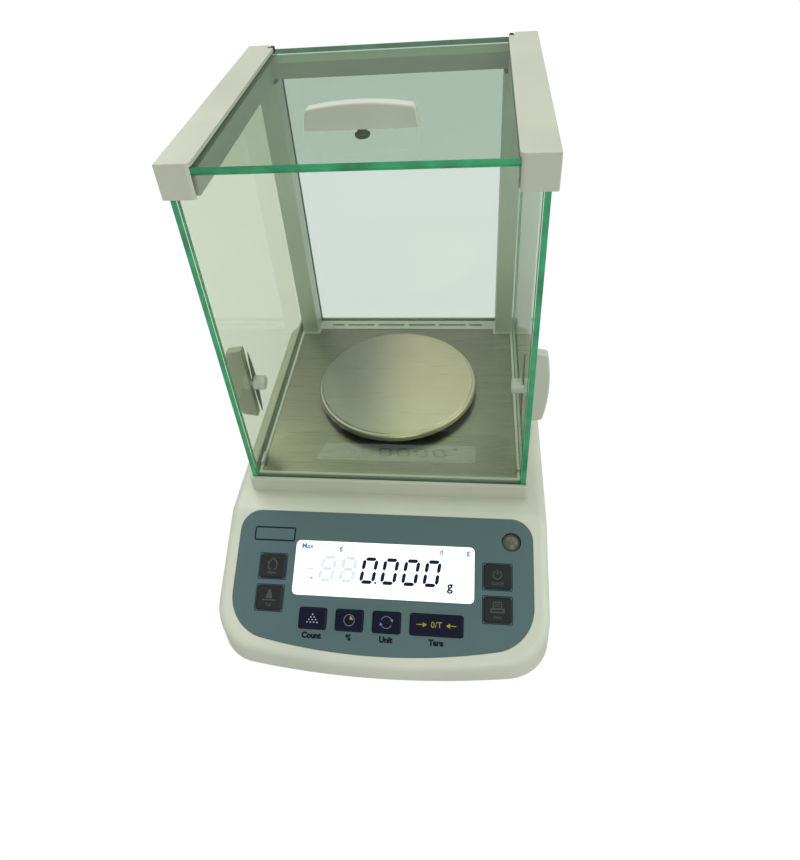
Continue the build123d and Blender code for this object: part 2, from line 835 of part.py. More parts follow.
def rail_solid(side):
    """A top rail: grooves for the roof, side and front glass, and a notch at its rear."""
    rail_front = shield_front + rail_front_setback
    roof_groove = rail_groove_top - rail_groove_bottom
    door_groove = door_top + glass_clearance - rail_z
    with BuildPart() as rail:
        with BuildSketch(Plane.XY.offset(rail_z)):
            with Locations((side * (rail_inner + rail_outer) / 2, (rail_front + shield_rear) / 2)):
                Rectangle(rail_width, shield_rear - rail_front)
        extrude(amount=rail_height)
        uprights = rail.edges().filter_by(Axis.Z)
        fillet(uprights.sort_by(lambda e: abs(e.center().X) + e.center().Y)[0], rail_round)
        outer_face = rail.faces().sort_by(Axis.X)[-1 if side > 0 else 0]
        fillet(outer_face.edges(), edge_round)
        with BuildSketch(Plane.XZ.offset(-groove_front)):
            with Locations((side * (rail_inner + groove_depth / 2), rail_groove_bottom + roof_groove / 2)):
                Rectangle(groove_depth, roof_groove)
            with Locations((side * (door_inner + door_outer) / 2, rail_z + door_groove / 2)):
                Rectangle(slot, door_groove)
        extrude(amount=-shield_depth, mode=Mode.SUBTRACT)
        with BuildSketch(Plane.XY.offset(rail_z)):
            with Locations((side * (rail_inner + door_inner) / 2, groove_front + slot / 2)):
                Rectangle(door_inner - rail_inner, slot)
        extrude(amount=rail_groove_bottom - rail_z, mode=Mode.SUBTRACT)
        with BuildSketch(Plane.XY.offset(rail_z)):
            with Locations((side * (rail_inner + groove_depth / 2), (rear_slot_front + rear_slot_rear) / 2)):
                Rectangle(groove_depth, slot)
        extrude(amount=beam_bottom + beam_bite - rail_z, mode=Mode.SUBTRACT)
        with BuildSketch(Plane.XY.offset(rail_groove_top)):
            with Locations((side * rail_inner, shield_rear)):
                Rectangle(2 * rear_notch_width, 2 * rear_notch_length)
        extrude(amount=rail_height, mode=Mode.SUBTRACT)
    return rail.part


with BuildPart() as left_top_rail:
    add(rail_solid(-1))
save(left_top_rail.part, "left_top_rail")

with BuildPart() as right_top_rail:
    add(rail_solid(1))
save(right_top_rail.part, "right_top_rail")

with BuildPart() as rear_crossbeam:
    with BuildSketch(Plane.XY.offset(beam_bottom)):
        with Locations((0, (beam_front + beam_rear) / 2)):
            Rectangle(2 * rail_inner, beam_depth)
    extrude(amount=beam_height)
    fillet(rear_crossbeam.edges().filter_by(Axis.X), edge_round)
    with BuildSketch(Plane.XY.offset(beam_bottom)):
        with Locations((0, (rear_slot_front + rear_slot_rear) / 2)):
            Rectangle(2 * rail_inner, slot)
    extrude(amount=beam_bite, mode=Mode.SUBTRACT)
save(rear_crossbeam.part, "rear_crossbeam")

with BuildPart() as front_glass:
    with BuildSketch(Plane.XY.offset(glass_bottom)):
        with Locations((0, glass_front + glass_thickness / 2)):
            Rectangle(2 * (door_inner - glass_clearance), glass_thickness)
    extrude(amount=beam_top - glass_bottom)
save(front_glass.part, "front_glass")

with BuildPart() as rear_glass:
    with BuildSketch(Plane.XY.offset(glass_bottom)):
        with Locations((0, (rear_slot_front + rear_slot_rear) / 2)):
            Rectangle(2 * rear_glass_half, glass_thickness)
    extrude(amount=beam_bottom + beam_bite - glass_clearance - glass_bottom)
save(rear_glass.part, "rear_glass")


# Sliding doors: a handle and its fixing are drawn once, lying along X with the glass under Y = 0
def handle_plan():
    """Side view of a handle: leaning ends and an arched crest with rounded corners."""
    crest_end = handle_length / 2 - handle_lean
    left_corner = (-crest_end, handle_end_height)
    right_corner = (crest_end, handle_end_height)
    with BuildSketch() as plan:
        with BuildLine():
            Polyline(left_corner, (-handle_length / 2, 0), (handle_length / 2, 0), right_corner)
            ThreePointArc(left_corner, (0, handle_height), right_corner)
        make_face()
        fillet(plan.vertices().group_by(Axis.Y)[-1], handle_round)
    return plan.sketch


with BuildPart() as handle_form:
    with BuildSketch(Plane.XY):
        add(handle_plan())
    extrude(amount=handle_thickness / 2, both=True)
    rims = handle_form.edges().filter_by(lambda e: e.center().Y > handle_edge)
    fillet(rims.group_by(Axis.Z)[0] + rims.group_by(Axis.Z)[-1], handle_edge)
    with BuildSketch(Plane.XZ):
        Circle(handle_stud_radius + fit_clearance)
    extrude(amount=-handle_bore, mode=Mode.SUBTRACT)


def fixing_form(head_radius, head_length):
    """Round head behind the glass, with a stud that passes the glass and ends inside the handle."""
    with BuildPart() as fixing:
        with BuildSketch(Plane.XZ.offset(glass_thickness)):
            Circle(head_radius)
        extrude(amount=head_length)
        chamfer(fixing.edges().group_by(Axis.Y)[0], edge_round)
        with BuildSketch(Plane.XZ.offset(glass_thickness)):
            Circle(handle_stud_radius)
        extrude(amount=-(glass_thickness + handle_bore - seat_clearance))
    return fixing.part


def handle_place(side):
    """Location on a side door's outer face of its handle, with the long direction upright."""
    seat = (side * door_outer, side_handle_y, side_handle_z)
    return Plane(origin=seat, x_dir=(0, 0, 1), z_dir=(0, side, 0)).location


def side_glass(side):
    """Sliding glass of one side, with the hole for its handle."""
    with BuildPart() as glass:
        with BuildSketch(Plane.YZ.offset(side * door_inner)):
            with Locations(((glass_front + glass_rear) / 2, (glass_bottom + door_top) / 2)):
                Rectangle(glass_rear - glass_front, door_top - glass_bottom)
            with Locations((side_handle_y, side_handle_z)):
                Circle(handle_stud_radius + seat_clearance, mode=Mode.SUBTRACT)
        extrude(amount=side * glass_thickness)
    return glass.part


for door_name, door_side in (("left", -1), ("right", 1)):
    with BuildPart() as door_glass:
        add(side_glass(door_side))
    save(door_glass.part, f"{door_name}_door_glass")

    with BuildPart() as door_handle:
        add(handle_form.part.moved(handle_place(door_side)))
    save(door_handle.part, f"{door_name}_door_handle")

    with BuildPart() as door_nut:
        add(fixing_form(handle_nut_radius, handle_nut_length).moved(handle_place(door_side)))
    save(door_nut.part, f"{door_name}_door_nut")

roof_place = Plane(origin=(0, roof_handle_y, roof_z), x_dir=(1, 0, 0), z_dir=(0, -1, 0)).location

with BuildPart() as top_door_glass:
    with BuildSketch(Plane.XY.offset(roof_underside)):
        with Locations((0, (glass_front + glass_rear) / 2)):
            Rectangle(2 * roof_half, glass_rear - glass_front)
        with Locations((0, roof_handle_y)):
            Circle(handle_stud_radius + seat_clearance, mode=Mode.SUBTRACT)
    extrude(amount=glass_thickness)
save(top_door_glass.part, "top_door_glass")

with BuildPart() as top_door_handle:
    add(handle_form.part.moved(roof_place))
save(top_door_handle.part, "top_door_handle")

with BuildPart() as top_door_screw:
    add(fixing_form(roof_screw_radius, roof_screw_height).moved(roof_place))
save(top_door_screw.part, "top_door_screw")

with BuildPart() as top_door_bumpers:
    with BuildSketch(Plane.XY.offset(roof_z)):
        for side in (-1, 1):
            with Locations((side * (rail_inner + rear_notch_width / 2), glass_rear - bumper_length / 2)):
                Rectangle(bumper_width, bumper_length)
    extrude(amount=bumper_height)
    chamfer(top_door_bumpers.edges().group_by(Axis.Z)[-1], edge_round)
save(top_door_bumpers.part, "top_door_bumpers")


# Weighing pan and the three-armed carrier that lifts off the load pin
pan_axis = Axis((0, pan_y, 0), (0, 0, 1))
pan_underside = pan_z - pan_sheet
carrier_z = deck_z + carrier_rise
arm_top = carrier_z + carrier_arm_height
step_radius = pan_radius - pan_step_width

with BuildPart() as weighing_pan:
    with BuildSketch(Plane.XZ.offset(-pan_y)) as pan_section:
        with BuildLine():
            Polyline(
                (0, pan_z),
                (step_radius, pan_z),
                (step_radius + pan_step, pan_z - pan_step),
                (pan_radius, pan_z - pan_step),
                (pan_radius, pan_z - pan_lip),
                (pan_radius - pan_sheet, pan_z - pan_lip),
                (pan_radius - pan_sheet, pan_underside - pan_step),
                (step_radius - pan_step, pan_underside - pan_step),
                (step_radius - pan_step, pan_underside),
                (0, pan_underside),
                close=True,
            )
        make_face()
        outer_corners = pan_section.vertices().filter_by(lambda v: abs(v.X - pan_radius) < fit_clearance)
        fillet(outer_corners.sort_by(Axis.Y)[-1], pan_rim_round)
    revolve(axis=pan_axis)
save(weighing_pan.part, "weighing_pan")

with BuildPart() as pan_carrier:
    with BuildSketch(Plane.XY.offset(carrier_z)):
        with Locations((0, pan_y)):
            Circle(carrier_hub_radius)
            with PolarLocations(carrier_reach / 2, 3, start_angle=90):
                SlotCenterToCenter(carrier_reach, carrier_arm_width)
    extrude(amount=carrier_arm_height)
    chamfer(pan_carrier.edges().group_by(Axis.Z)[-1], edge_round)
    with BuildSketch(Plane.XY.offset(carrier_z)):
        with Locations((0, pan_y)):
            Circle(carrier_hub_radius - carrier_hub_roof)
    extrude(amount=deck_z + pin_rise + seat_clearance + carrier_hub_roof - carrier_z)
    with BuildSketch(Plane.XY.offset(carrier_z)):
        with Locations((0, pan_y)):
            Circle(load_pin_radius + fit_clearance)
    extrude(amount=deck_z + pin_rise + seat_clearance - carrier_z, mode=Mode.SUBTRACT)
save(pan_carrier.part, "pan_carrier")

with BuildPart() as carrier_pads:
    with BuildSketch(Plane.XY.offset(arm_top)):
        with Locations((0, pan_y)):
            with PolarLocations(carrier_reach, 3, start_angle=90):
                Circle(pad_radius)
    extrude(amount=pan_underside - seat_clearance - arm_top)
save(carrier_pads.part, "carrier_pads")


# Weighing cell under the pan: fixed frame, parallel guides, hanger with load pin, lever, coil and magnet
with BuildPart() as cell_frame:
    with BuildSketch(Plane.XY.offset(cell_floor)):
        with Locations((0, (cell_front + cell_rear) / 2)):
            Rectangle(2 * cell_half, cell_rear - cell_front)
    extrude(amount=cell_slab)
    with BuildSketch(Plane.XY.offset(cell_floor)):
        with Locations((0, pillar_front + pillar_depth / 2)):
            Rectangle(2 * guide_half, pillar_depth)
    extrude(amount=cell_top - cell_floor)
    with BuildSketch(Plane.XZ.offset(-pillar_front)):
        with Locations((0, lever_z + lever_height / 2)):
            Rectangle(2 * guide_window_half, 2 * lever_height)
    extrude(amount=-pillar_depth, mode=Mode.SUBTRACT)
save(cell_frame.part, "cell_frame")

with BuildPart() as cell_hanger:
    with BuildSketch(Plane.XY.offset(lower_guide_z + guide_sheet)):
        with Locations((0, pan_y)):
            Rectangle(2 * hanger_half, hanger_depth)
    extrude(amount=cell_top - lower_guide_z - guide_sheet)
    with BuildSketch(Plane.XY.offset(cell_top)):
        with Locations((0, pan_y)):
            Circle(load_pin_radius)
    extrude(amount=deck_z + pin_rise - cell_top)
    chamfer(cell_hanger.edges().group_by(Axis.Z)[-1], foot_stud_chamfer)
save(cell_hanger.part, "cell_hanger")

with BuildPart() as cell_guides:
    guide_front = pan_y - hanger_depth / 2
    window_front = pan_y + hanger_depth / 2 + guide_sheet
    for guide_z, guide_rear in ((cell_top, pillar_front + pillar_depth), (lower_guide_z, pillar_front)):
        with BuildSketch(Plane.XY.offset(guide_z)):
            with Locations((0, (guide_front + guide_rear) / 2)):
                Rectangle(2 * guide_half, guide_rear - guide_front)
            with Locations((0, (window_front + pillar_front) / 2)):
                RectangleRounded(
                    2 * guide_window_half,
                    pillar_front - window_front - 2 * lever_height,
                    lever_height / 2,
                    mode=Mode.SUBTRACT,
                )
            with Locations((0, pan_y)):
                Circle(load_pin_radius + seat_clearance, mode=Mode.SUBTRACT)
        extrude(amount=guide_sheet)
save(cell_guides.part, "cell_guides")

with BuildPart() as cell_lever:
    lever_front = pan_y + hanger_depth / 2
    with BuildSketch(Plane.XY.offset(lever_z)):
        with Locations((0, (lever_front + lever_rear) / 2)):
            Rectangle(2 * lever_half, lever_rear - lever_front)
    extrude(amount=lever_height)
    with BuildSketch(Plane.XY.offset(lever_z)):
        with Locations((0, magnet_y)):
            Circle(coil_outer)
    extrude(amount=guide_sheet)
save(cell_lever.part, "cell_lever")

with BuildPart() as coil:
    with BuildSketch(Plane.XY.offset(lever_z)):
        with Locations((0, magnet_y)):
            Circle(coil_outer)
            Circle(coil_inner, mode=Mode.SUBTRACT)
    extrude(amount=-coil_depth)
save(coil.part, "coil")

with BuildPart() as magnet_pot:
    with BuildSketch(Plane.XY.offset(cell_floor + cell_slab)):
        with Locations((0, magnet_y)):
            Circle(magnet_radius)
    extrude(amount=magnet_top - cell_floor - cell_slab)
    with BuildSketch(Plane.XY.offset(lever_z - coil_depth - coil_gap)):
        with Locations((0, magnet_y)):
            Circle(coil_outer + coil_gap)
            Circle(coil_inner - coil_gap, mode=Mode.SUBTRACT)
    extrude(amount=coil_depth, mode=Mode.SUBTRACT)
save(magnet_pot.part, "magnet_pot")

with BuildPart() as position_sensor:
    with BuildSketch(Plane.XY.offset(cell_floor + cell_slab)):
        with Locations((0, sensor_front + sensor_depth / 2)):
            Rectangle(2 * sensor_half, sensor_depth)
    extrude(amount=lever_z + lever_height / 2 - cell_floor - cell_slab)
save(position_sensor.part, "position_sensor")


# Electronics in the front of the housing
with BuildPart() as board_standoffs:
    with BuildSketch(Plane.XY.offset(plate_top)):
        with Locations(*standoff_places):
            Circle(standoff_radius)
    extrude(amount=main_board_z - plate_top)
save(board_standoffs.part, "board_standoffs")

with BuildPart() as main_board:
    with BuildSketch(Plane.XY.offset(main_board_z)):
        with Locations((0, (board_front + board_rear) / 2)):
            Rectangle(2 * board_half, board_rear - board_front)
    extrude(amount=board_sheet)
    for block_x, block_y, block_width, block_length, block_height in board_blocks:
        with BuildSketch(Plane.XY.offset(main_board_z + board_sheet)):
            with Locations((block_x, block_y)):
                Rectangle(block_width, block_length)
        extrude(amount=block_height)
    with BuildSketch(Plane.XY.offset(main_board_z + board_sheet)):
        with Locations(*capacitor_places):
            Circle(capacitor_radius)
    extrude(amount=capacitor_height)
save(main_board.part, "main_board")


# Sockets in the rear wall
with BuildPart() as power_jack:
    with BuildSketch(Plane.XZ.offset(-port_flange)):
        with Locations((jack_x, socket_z)):
            Rectangle(2 * jack_body_half, 2 * jack_body_half)
    extrude(amount=jack_body_depth)
    with BuildSketch(Plane.XZ.offset(-port_flange)):
        with Locations((jack_x, socket_z)):
            Circle(jack_radius)
    extrude(amount=port_flange - port_face)
    with BuildSketch(Plane.XZ.offset(-port_face)):
        with Locations((jack_x, socket_z)):
            Circle(jack_bore_radius)
            Circle(jack_pin_radius, mode=Mode.SUBTRACT)
    extrude(amount=jack_bore_depth, mode=Mode.SUBTRACT)
save(power_jack.part, "power_jack")

with BuildPart() as serial_port:
    with BuildSketch(Plane.XZ.offset(-port_flange)):
        with Locations((port_x, socket_z)):
            Rectangle(port_width, port_height)
    extrude(amount=port_flange_sheet)
    with BuildSketch(Plane.XZ.offset(-port_flange)):
        with Locations((port_x, socket_z)):
            Rectangle(port_shell_width, port_shell_height)
    extrude(amount=port_body_depth)
    with BuildSketch(Plane.XZ.offset(-port_flange)):
        with Locations((port_x, socket_z)):
            add(port_shell(0))
        with Locations(*port_screw_places):
            Circle(port_screw_radius)
    extrude(amount=port_flange - port_face)
    with BuildSketch(Plane.XZ.offset(-port_face)):
        with Locations((port_x, socket_z)):
            add(port_shell(-port_shell_sheet))
            with Locations((0, port_pin_row)):
                with GridLocations(port_pin_pitch, 1, 5, 1):
                    Circle(port_pin_radius, mode=Mode.SUBTRACT)
            with Locations((0, -port_pin_row)):
                with GridLocations(port_pin_pitch, 1, 4, 1):
                    Circle(port_pin_radius, mode=Mode.SUBTRACT)
    extrude(amount=port_shell_hollow, mode=Mode.SUBTRACT)
save(serial_port.part, "serial_port")
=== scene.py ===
"""Looks of a precision balance with a glass draft shield, built as a Blender add-on and run as a script.

Lengths are metres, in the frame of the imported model: X across, the user on the -Y side, Z up from the bench.
"""

import json
from math import cos, radians, sin, tan

import bmesh
import bpy
from mathutils import Matrix, Vector

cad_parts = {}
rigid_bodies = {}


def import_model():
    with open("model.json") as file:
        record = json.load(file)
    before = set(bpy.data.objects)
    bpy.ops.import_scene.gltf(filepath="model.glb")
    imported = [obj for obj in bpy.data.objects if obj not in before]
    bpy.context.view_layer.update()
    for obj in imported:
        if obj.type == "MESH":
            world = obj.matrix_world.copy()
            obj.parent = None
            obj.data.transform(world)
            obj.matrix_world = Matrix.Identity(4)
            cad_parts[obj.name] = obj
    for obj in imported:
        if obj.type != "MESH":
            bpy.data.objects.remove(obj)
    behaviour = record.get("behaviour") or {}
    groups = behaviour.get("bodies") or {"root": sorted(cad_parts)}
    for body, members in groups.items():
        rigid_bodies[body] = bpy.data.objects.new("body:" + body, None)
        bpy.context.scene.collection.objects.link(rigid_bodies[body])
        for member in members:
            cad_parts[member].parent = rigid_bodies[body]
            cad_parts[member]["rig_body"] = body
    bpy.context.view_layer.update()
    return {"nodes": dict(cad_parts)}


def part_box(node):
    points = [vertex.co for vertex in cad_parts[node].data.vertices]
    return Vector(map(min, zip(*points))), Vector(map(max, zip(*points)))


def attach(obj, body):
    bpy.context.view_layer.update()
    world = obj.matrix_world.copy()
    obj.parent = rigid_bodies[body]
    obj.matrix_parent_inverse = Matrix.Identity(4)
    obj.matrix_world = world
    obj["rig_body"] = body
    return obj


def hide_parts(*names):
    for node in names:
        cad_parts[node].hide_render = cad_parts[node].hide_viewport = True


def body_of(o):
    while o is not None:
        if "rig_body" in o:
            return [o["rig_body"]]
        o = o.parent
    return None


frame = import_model()

bl_info = {
    "name": "Precision balance looks",
    "version": (1, 0, 0),
    "blender": (4, 5, 0),
    "location": "View3D > Sidebar > Balance",
    "description": "Finishes, glass, display, key legends and stage of a precision balance",
    "category": "Object",
}

MM = 0.001

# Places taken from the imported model
PANEL_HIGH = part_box("control_panel")[1]
VIAL_LOW, VIAL_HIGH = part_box("level_vial")

# Share of red, green and blue that each face of a pane lets through
PANES = {
    "front_glass": (0.90, 0.93, 0.91),
    "rear_glass": (0.90, 0.93, 0.91),
    "left_door_glass": (0.89, 0.91, 0.82),
    "right_door_glass": (0.90, 0.93, 0.88),
    "top_door_glass": (0.71, 0.79, 0.72),
}
FOOT_NAMES = ("front_left", "front_right", "rear_left", "rear_right")
SIDE_KEYS = ("power", "print", "menu", "cal")
LOWER_KEYS = ("count", "percent", "unit", "tare")

# Noise values lie mostly between these two
NOISE_LOW, NOISE_HIGH = 0.3, 0.7
# Darkest and lightest tone of worn metal, as shares of its colour
WORN_DARK, WORN_LIGHT = 0.88, 1.08
# Where the pan's colour changes, along X, from its left tone to its right one, a lighter and warmer painted
# reflection
PAN_REFLECTION_START, PAN_REFLECTION_END = -35 * MM, 20 * MM
# How far from a pane's outline a polygon may lie and still belong to the cut edge
EDGE_BAND = 1 * MM
# Font size over the height of its capitals
FONT_SIZE_PER_CAPITAL = 1.37

# Soft square lamps: position, width in metres, power in watts
LAMPS = {
    "key_lamp": ((-0.9, 0.7, 1.6), 1.2, 16.0),
    "fill_lamp": ((1.5, -0.2, 0.9), 1.4, 9.0),
    "top_lamp": ((0.2, 0.7, 1.9), 1.6, 12.0),
    "front_lamp": ((0.4, -1.8, 0.9), 1.2, 11.0),
}
LAMP_TARGET = (0, 0, 0.12)

# Camera fitted to the photograph: place, angles in degrees (order ZYX), lens in millimetres and shifts
CAMERA_PLACE = (0.0586, -0.3518, 0.4406)
CAMERA_ANGLES = (48.528, 7.685, 0.703)
CAMERA_LENS = 29.03
CAMERA_SHIFT = (0.0233, -0.0582)


# Settings that a user would change
def colour_setting(name, description, default):
    """A colour setting with three channels from 0 to 1."""
    return bpy.props.FloatVectorProperty(
        name=name, description=description, subtype="COLOR", size=3, default=default, min=0, max=1
    )


def length_setting(name, description, default):
    """A length setting in metres."""
    return bpy.props.FloatProperty(name=name, description=description, unit="LENGTH", default=default)


class BalanceColours(bpy.types.PropertyGroup):
    """Base colours of the finishes."""

    housing: colour_setting("Housing", "Moulded housing", (0.58, 0.61, 0.50))
    shield: colour_setting("Shield frame", "Painted frame and rails of the draft shield", (0.50, 0.53, 0.42))
    panel: colour_setting("Panel", "Printed film of the console", (0.085, 0.145, 0.145))
    glass_edge: colour_setting("Glass edge", "Green of the panes' cut edges", (0.03, 0.28, 0.12))


class BalanceSizes(bpy.types.PropertyGroup):
    """Sizes of the printed and fine details."""

    console_angle: bpy.props.FloatProperty(
        name="Console slope",
        description="Angle of the console above the bench",
        subtype="ANGLE",
        default=radians(26.4),
    )
    print_thickness: length_setting("Print thickness", "Height of printed marks", 0.06 * MM)
    digit_height: length_setting("Digit height", "Height of the display's figures", 17.0 * MM)
    digit_pitch: length_setting("Digit pitch", "Distance between figures", 13.8 * MM)


# Materials: small helpers that build node trees
def shade(colour, factor):
    """A colour made lighter or darker."""
    return tuple(min(1.0, c * factor) for c in colour)


class Nodes:
    """Adds nodes to one material and wires them up."""

    def __init__(self, name):
        self.material = bpy.data.materials.new(name)
        self.material.use_nodes = True
        self.tree = self.material.node_tree
        self.tree.nodes.clear()
        self.output = self.add("ShaderNodeOutputMaterial")

    def add(self, kind, **values):
        """A new node; values name its properties or, where it has none of that name, its input sockets."""
        node = self.tree.nodes.new(kind)
        for key, value in values.items():
            if hasattr(node, key):
                setattr(node, key, value)
            else:
                node.inputs[key.replace("_", " ").title()].default_value = value
        return node

    def link(self, source, target):
        """Joins an output socket to an input socket."""
        self.tree.links.new(source, target)

    def shader(self, colour, roughness, metallic=0.0, sheen=0.5):
        """A Principled shader wired to the output; sheen is its Specular level."""
        node = self.add("ShaderNodeBsdfPrincipled")
        node.inputs["Specular IOR Level"].default_value = sheen
        node.inputs["Base Color"].default_value = (*colour, 1)
        node.inputs["Roughness"].default_value = roughness
        node.inputs["Metallic"].default_value = metallic
        self.link(node.outputs["BSDF"], self.output.inputs["Surface"])
        return node

    def place(self, scale=(1, 1, 1)):
        """Object coordinates, stretched by scale."""
        coordinates = self.add("ShaderNodeTexCoord")
        mapping = self.add("ShaderNodeMapping")
        mapping.inputs["Scale"].default_value = scale
        self.link(coordinates.outputs["Object"], mapping.inputs["Vector"])
        return mapping.outputs["Vector"]

    def noise(self, vector, scale, detail=3.0):
        """A noise value from a vector."""
        node = self.add("ShaderNodeTexNoise")
        node.inputs["Scale"].default_value = scale
        node.inputs["Detail"].default_value = detail
        self.link(vector, node.inputs["Vector"])
        return node.outputs["Fac"]

    def spread(self, value, low, high):
        """A noise value mapped to low and high."""
        node = self.add("ShaderNodeMapRange")
        node.inputs["From Min"].default_value = NOISE_LOW
        node.inputs["From Max"].default_value = NOISE_HIGH
        node.inputs["To Min"].default_value = low
        node.inputs["To Max"].default_value = high
        self.link(value, node.inputs["Value"])
        return node.outputs["Result"]

    def mottle(self, value, colour, dark, light):
        """A colour that a noise value varies between two shares of itself."""
        return self.blend(self.spread(value, 0, 1), shade(colour, dark), shade(colour, light))

    def blend(self, value, first, second):
        """A colour between two colours."""
        node = self.add("ShaderNodeMix", data_type="RGBA")
        node.inputs[6].default_value = (*first, 1)
        node.inputs[7].default_value = (*second, 1)
        self.link(value, node.inputs[0])
        return node.outputs[2]

    def bump(self, value, shader, distance, strength=1.0):
        """Bump on a shader from a value, with its height in metres."""
        node = self.add("ShaderNodeBump")
        node.inputs["Distance"].default_value = distance
        node.inputs["Strength"].default_value = strength
        self.link(value, node.inputs["Height"])
        self.link(node.outputs["Normal"], shader.inputs["Normal"])


def moulded(name, colour, roughness=0.45, grain=2200.0, depth=0.03 * MM, patch=0.05, sheen=0.5):
    """Moulded or painted surface: fine grain, slight patches of tone and gloss."""
    nodes = Nodes(name)
    shader = nodes.shader(colour, roughness, sheen=sheen)
    place = nodes.place()
    tone = nodes.mottle(nodes.noise(place, 14.0), colour, 1 - patch, 1 + patch)
    gloss = nodes.spread(nodes.noise(place, 60.0), roughness - 0.06, roughness + 0.06)
    nodes.link(tone, shader.inputs["Base Color"])
    nodes.link(gloss, shader.inputs["Roughness"])
    nodes.bump(nodes.noise(place, grain, 2.0), shader, depth)
    return nodes.material


def brushed(name, colour, roughness=0.3, along=(20, 2600, 2600), right=None):
    """Brushed metal: fine streaks along one direction and cloudy wear; right, where given, is a painted
    reflection: the colour it turns to at the right.
    """
    nodes = Nodes(name)
    shader = nodes.shader(colour, roughness, 1.0)
    streaks = nodes.noise(nodes.place(along), 1.0, 4.0)
    cloud = nodes.noise(nodes.place(), 9.0)
    worn = nodes.spread(cloud, 0, 1)
    tone = nodes.blend(worn, shade(colour, WORN_DARK), shade(colour, WORN_LIGHT))
    # painted reflection: towards the right the metal blends into the lighter colour right
    if right:
        ends = nodes.add("ShaderNodeSeparateXYZ")
        nodes.link(nodes.place(), ends.inputs["Vector"])
        across = nodes.add("ShaderNodeMapRange", interpolation_type="SMOOTHSTEP")
        across.inputs["From Min"].default_value = PAN_REFLECTION_START
        across.inputs["From Max"].default_value = PAN_REFLECTION_END
        nodes.link(ends.outputs["X"], across.inputs["Value"])
        reflection_tone = nodes.blend(worn, shade(right, WORN_DARK), shade(right, WORN_LIGHT))
        both = nodes.add("ShaderNodeMix", data_type="RGBA")
        nodes.link(across.outputs["Result"], both.inputs[0])
        nodes.link(tone, both.inputs[6])
        nodes.link(reflection_tone, both.inputs[7])
        tone = both.outputs[2]
    nodes.link(tone, shader.inputs["Base Color"])
    nodes.link(nodes.spread(streaks, roughness - 0.05, roughness + 0.09), shader.inputs["Roughness"])
    nodes.bump(streaks, shader, 0.006 * MM, 0.5)
    return nodes.material


def pane_face(name, tint):
    """Clear faces of a pane: tinted and see-through, with reflections that grow towards grazing angles."""
    nodes = Nodes(name)
    clear = nodes.add("ShaderNodeBsdfTransparent")
    clear.inputs["Color"].default_value = (*tint, 1)
    mirror = nodes.add("ShaderNodeBsdfGlossy")
    mirror.inputs["Color"].default_value = (0.9, 0.95, 0.92, 1)
    smear = nodes.noise(nodes.place(), 22.0)
    nodes.link(nodes.spread(smear, 0.0, 0.03), mirror.inputs["Roughness"])
    fresnel = nodes.add("ShaderNodeFresnel")
    fresnel.inputs["IOR"].default_value = 1.45
    side = nodes.add("ShaderNodeNewGeometry")
    outside = nodes.add("ShaderNodeMath", operation="SUBTRACT")
    outside.inputs[0].default_value = 1.0
    nodes.link(side.outputs["Backfacing"], outside.inputs[1])
    share = nodes.add("ShaderNodeMath", operation="MULTIPLY")
    nodes.link(fresnel.outputs[0], share.inputs[0])
    nodes.link(outside.outputs[0], share.inputs[1])
    both = nodes.add("ShaderNodeMixShader")
    nodes.link(share.outputs[0], both.inputs[0])
    nodes.link(clear.outputs[0], both.inputs[1])
    nodes.link(mirror.outputs[0], both.inputs[2])
    nodes.link(both.outputs[0], nodes.output.inputs["Surface"])
    return nodes.material


def pane_edge(name, colour):
    """Cut edge of a pane: deep green with lighter streaks along it."""
    nodes = Nodes(name)
    shader = nodes.shader(colour, 0.12)
    shader.inputs["IOR"].default_value = 1.5
    streaks = nodes.noise(nodes.place((60, 60, 60)), 1.0)
    nodes.link(nodes.mottle(streaks, colour, 0.75, 1.5), shader.inputs["Base Color"])
    return nodes.material


def cover(obj, *materials):
    """Gives an object these materials."""
    obj.data.materials.clear()
    for material in materials:
        obj.data.materials.append(material)


def new_object(name, mesh):
    """A new object at the origin for a mesh."""
    obj = bpy.data.objects.new(name, mesh)
    bpy.context.scene.collection.objects.link(obj)
    return obj


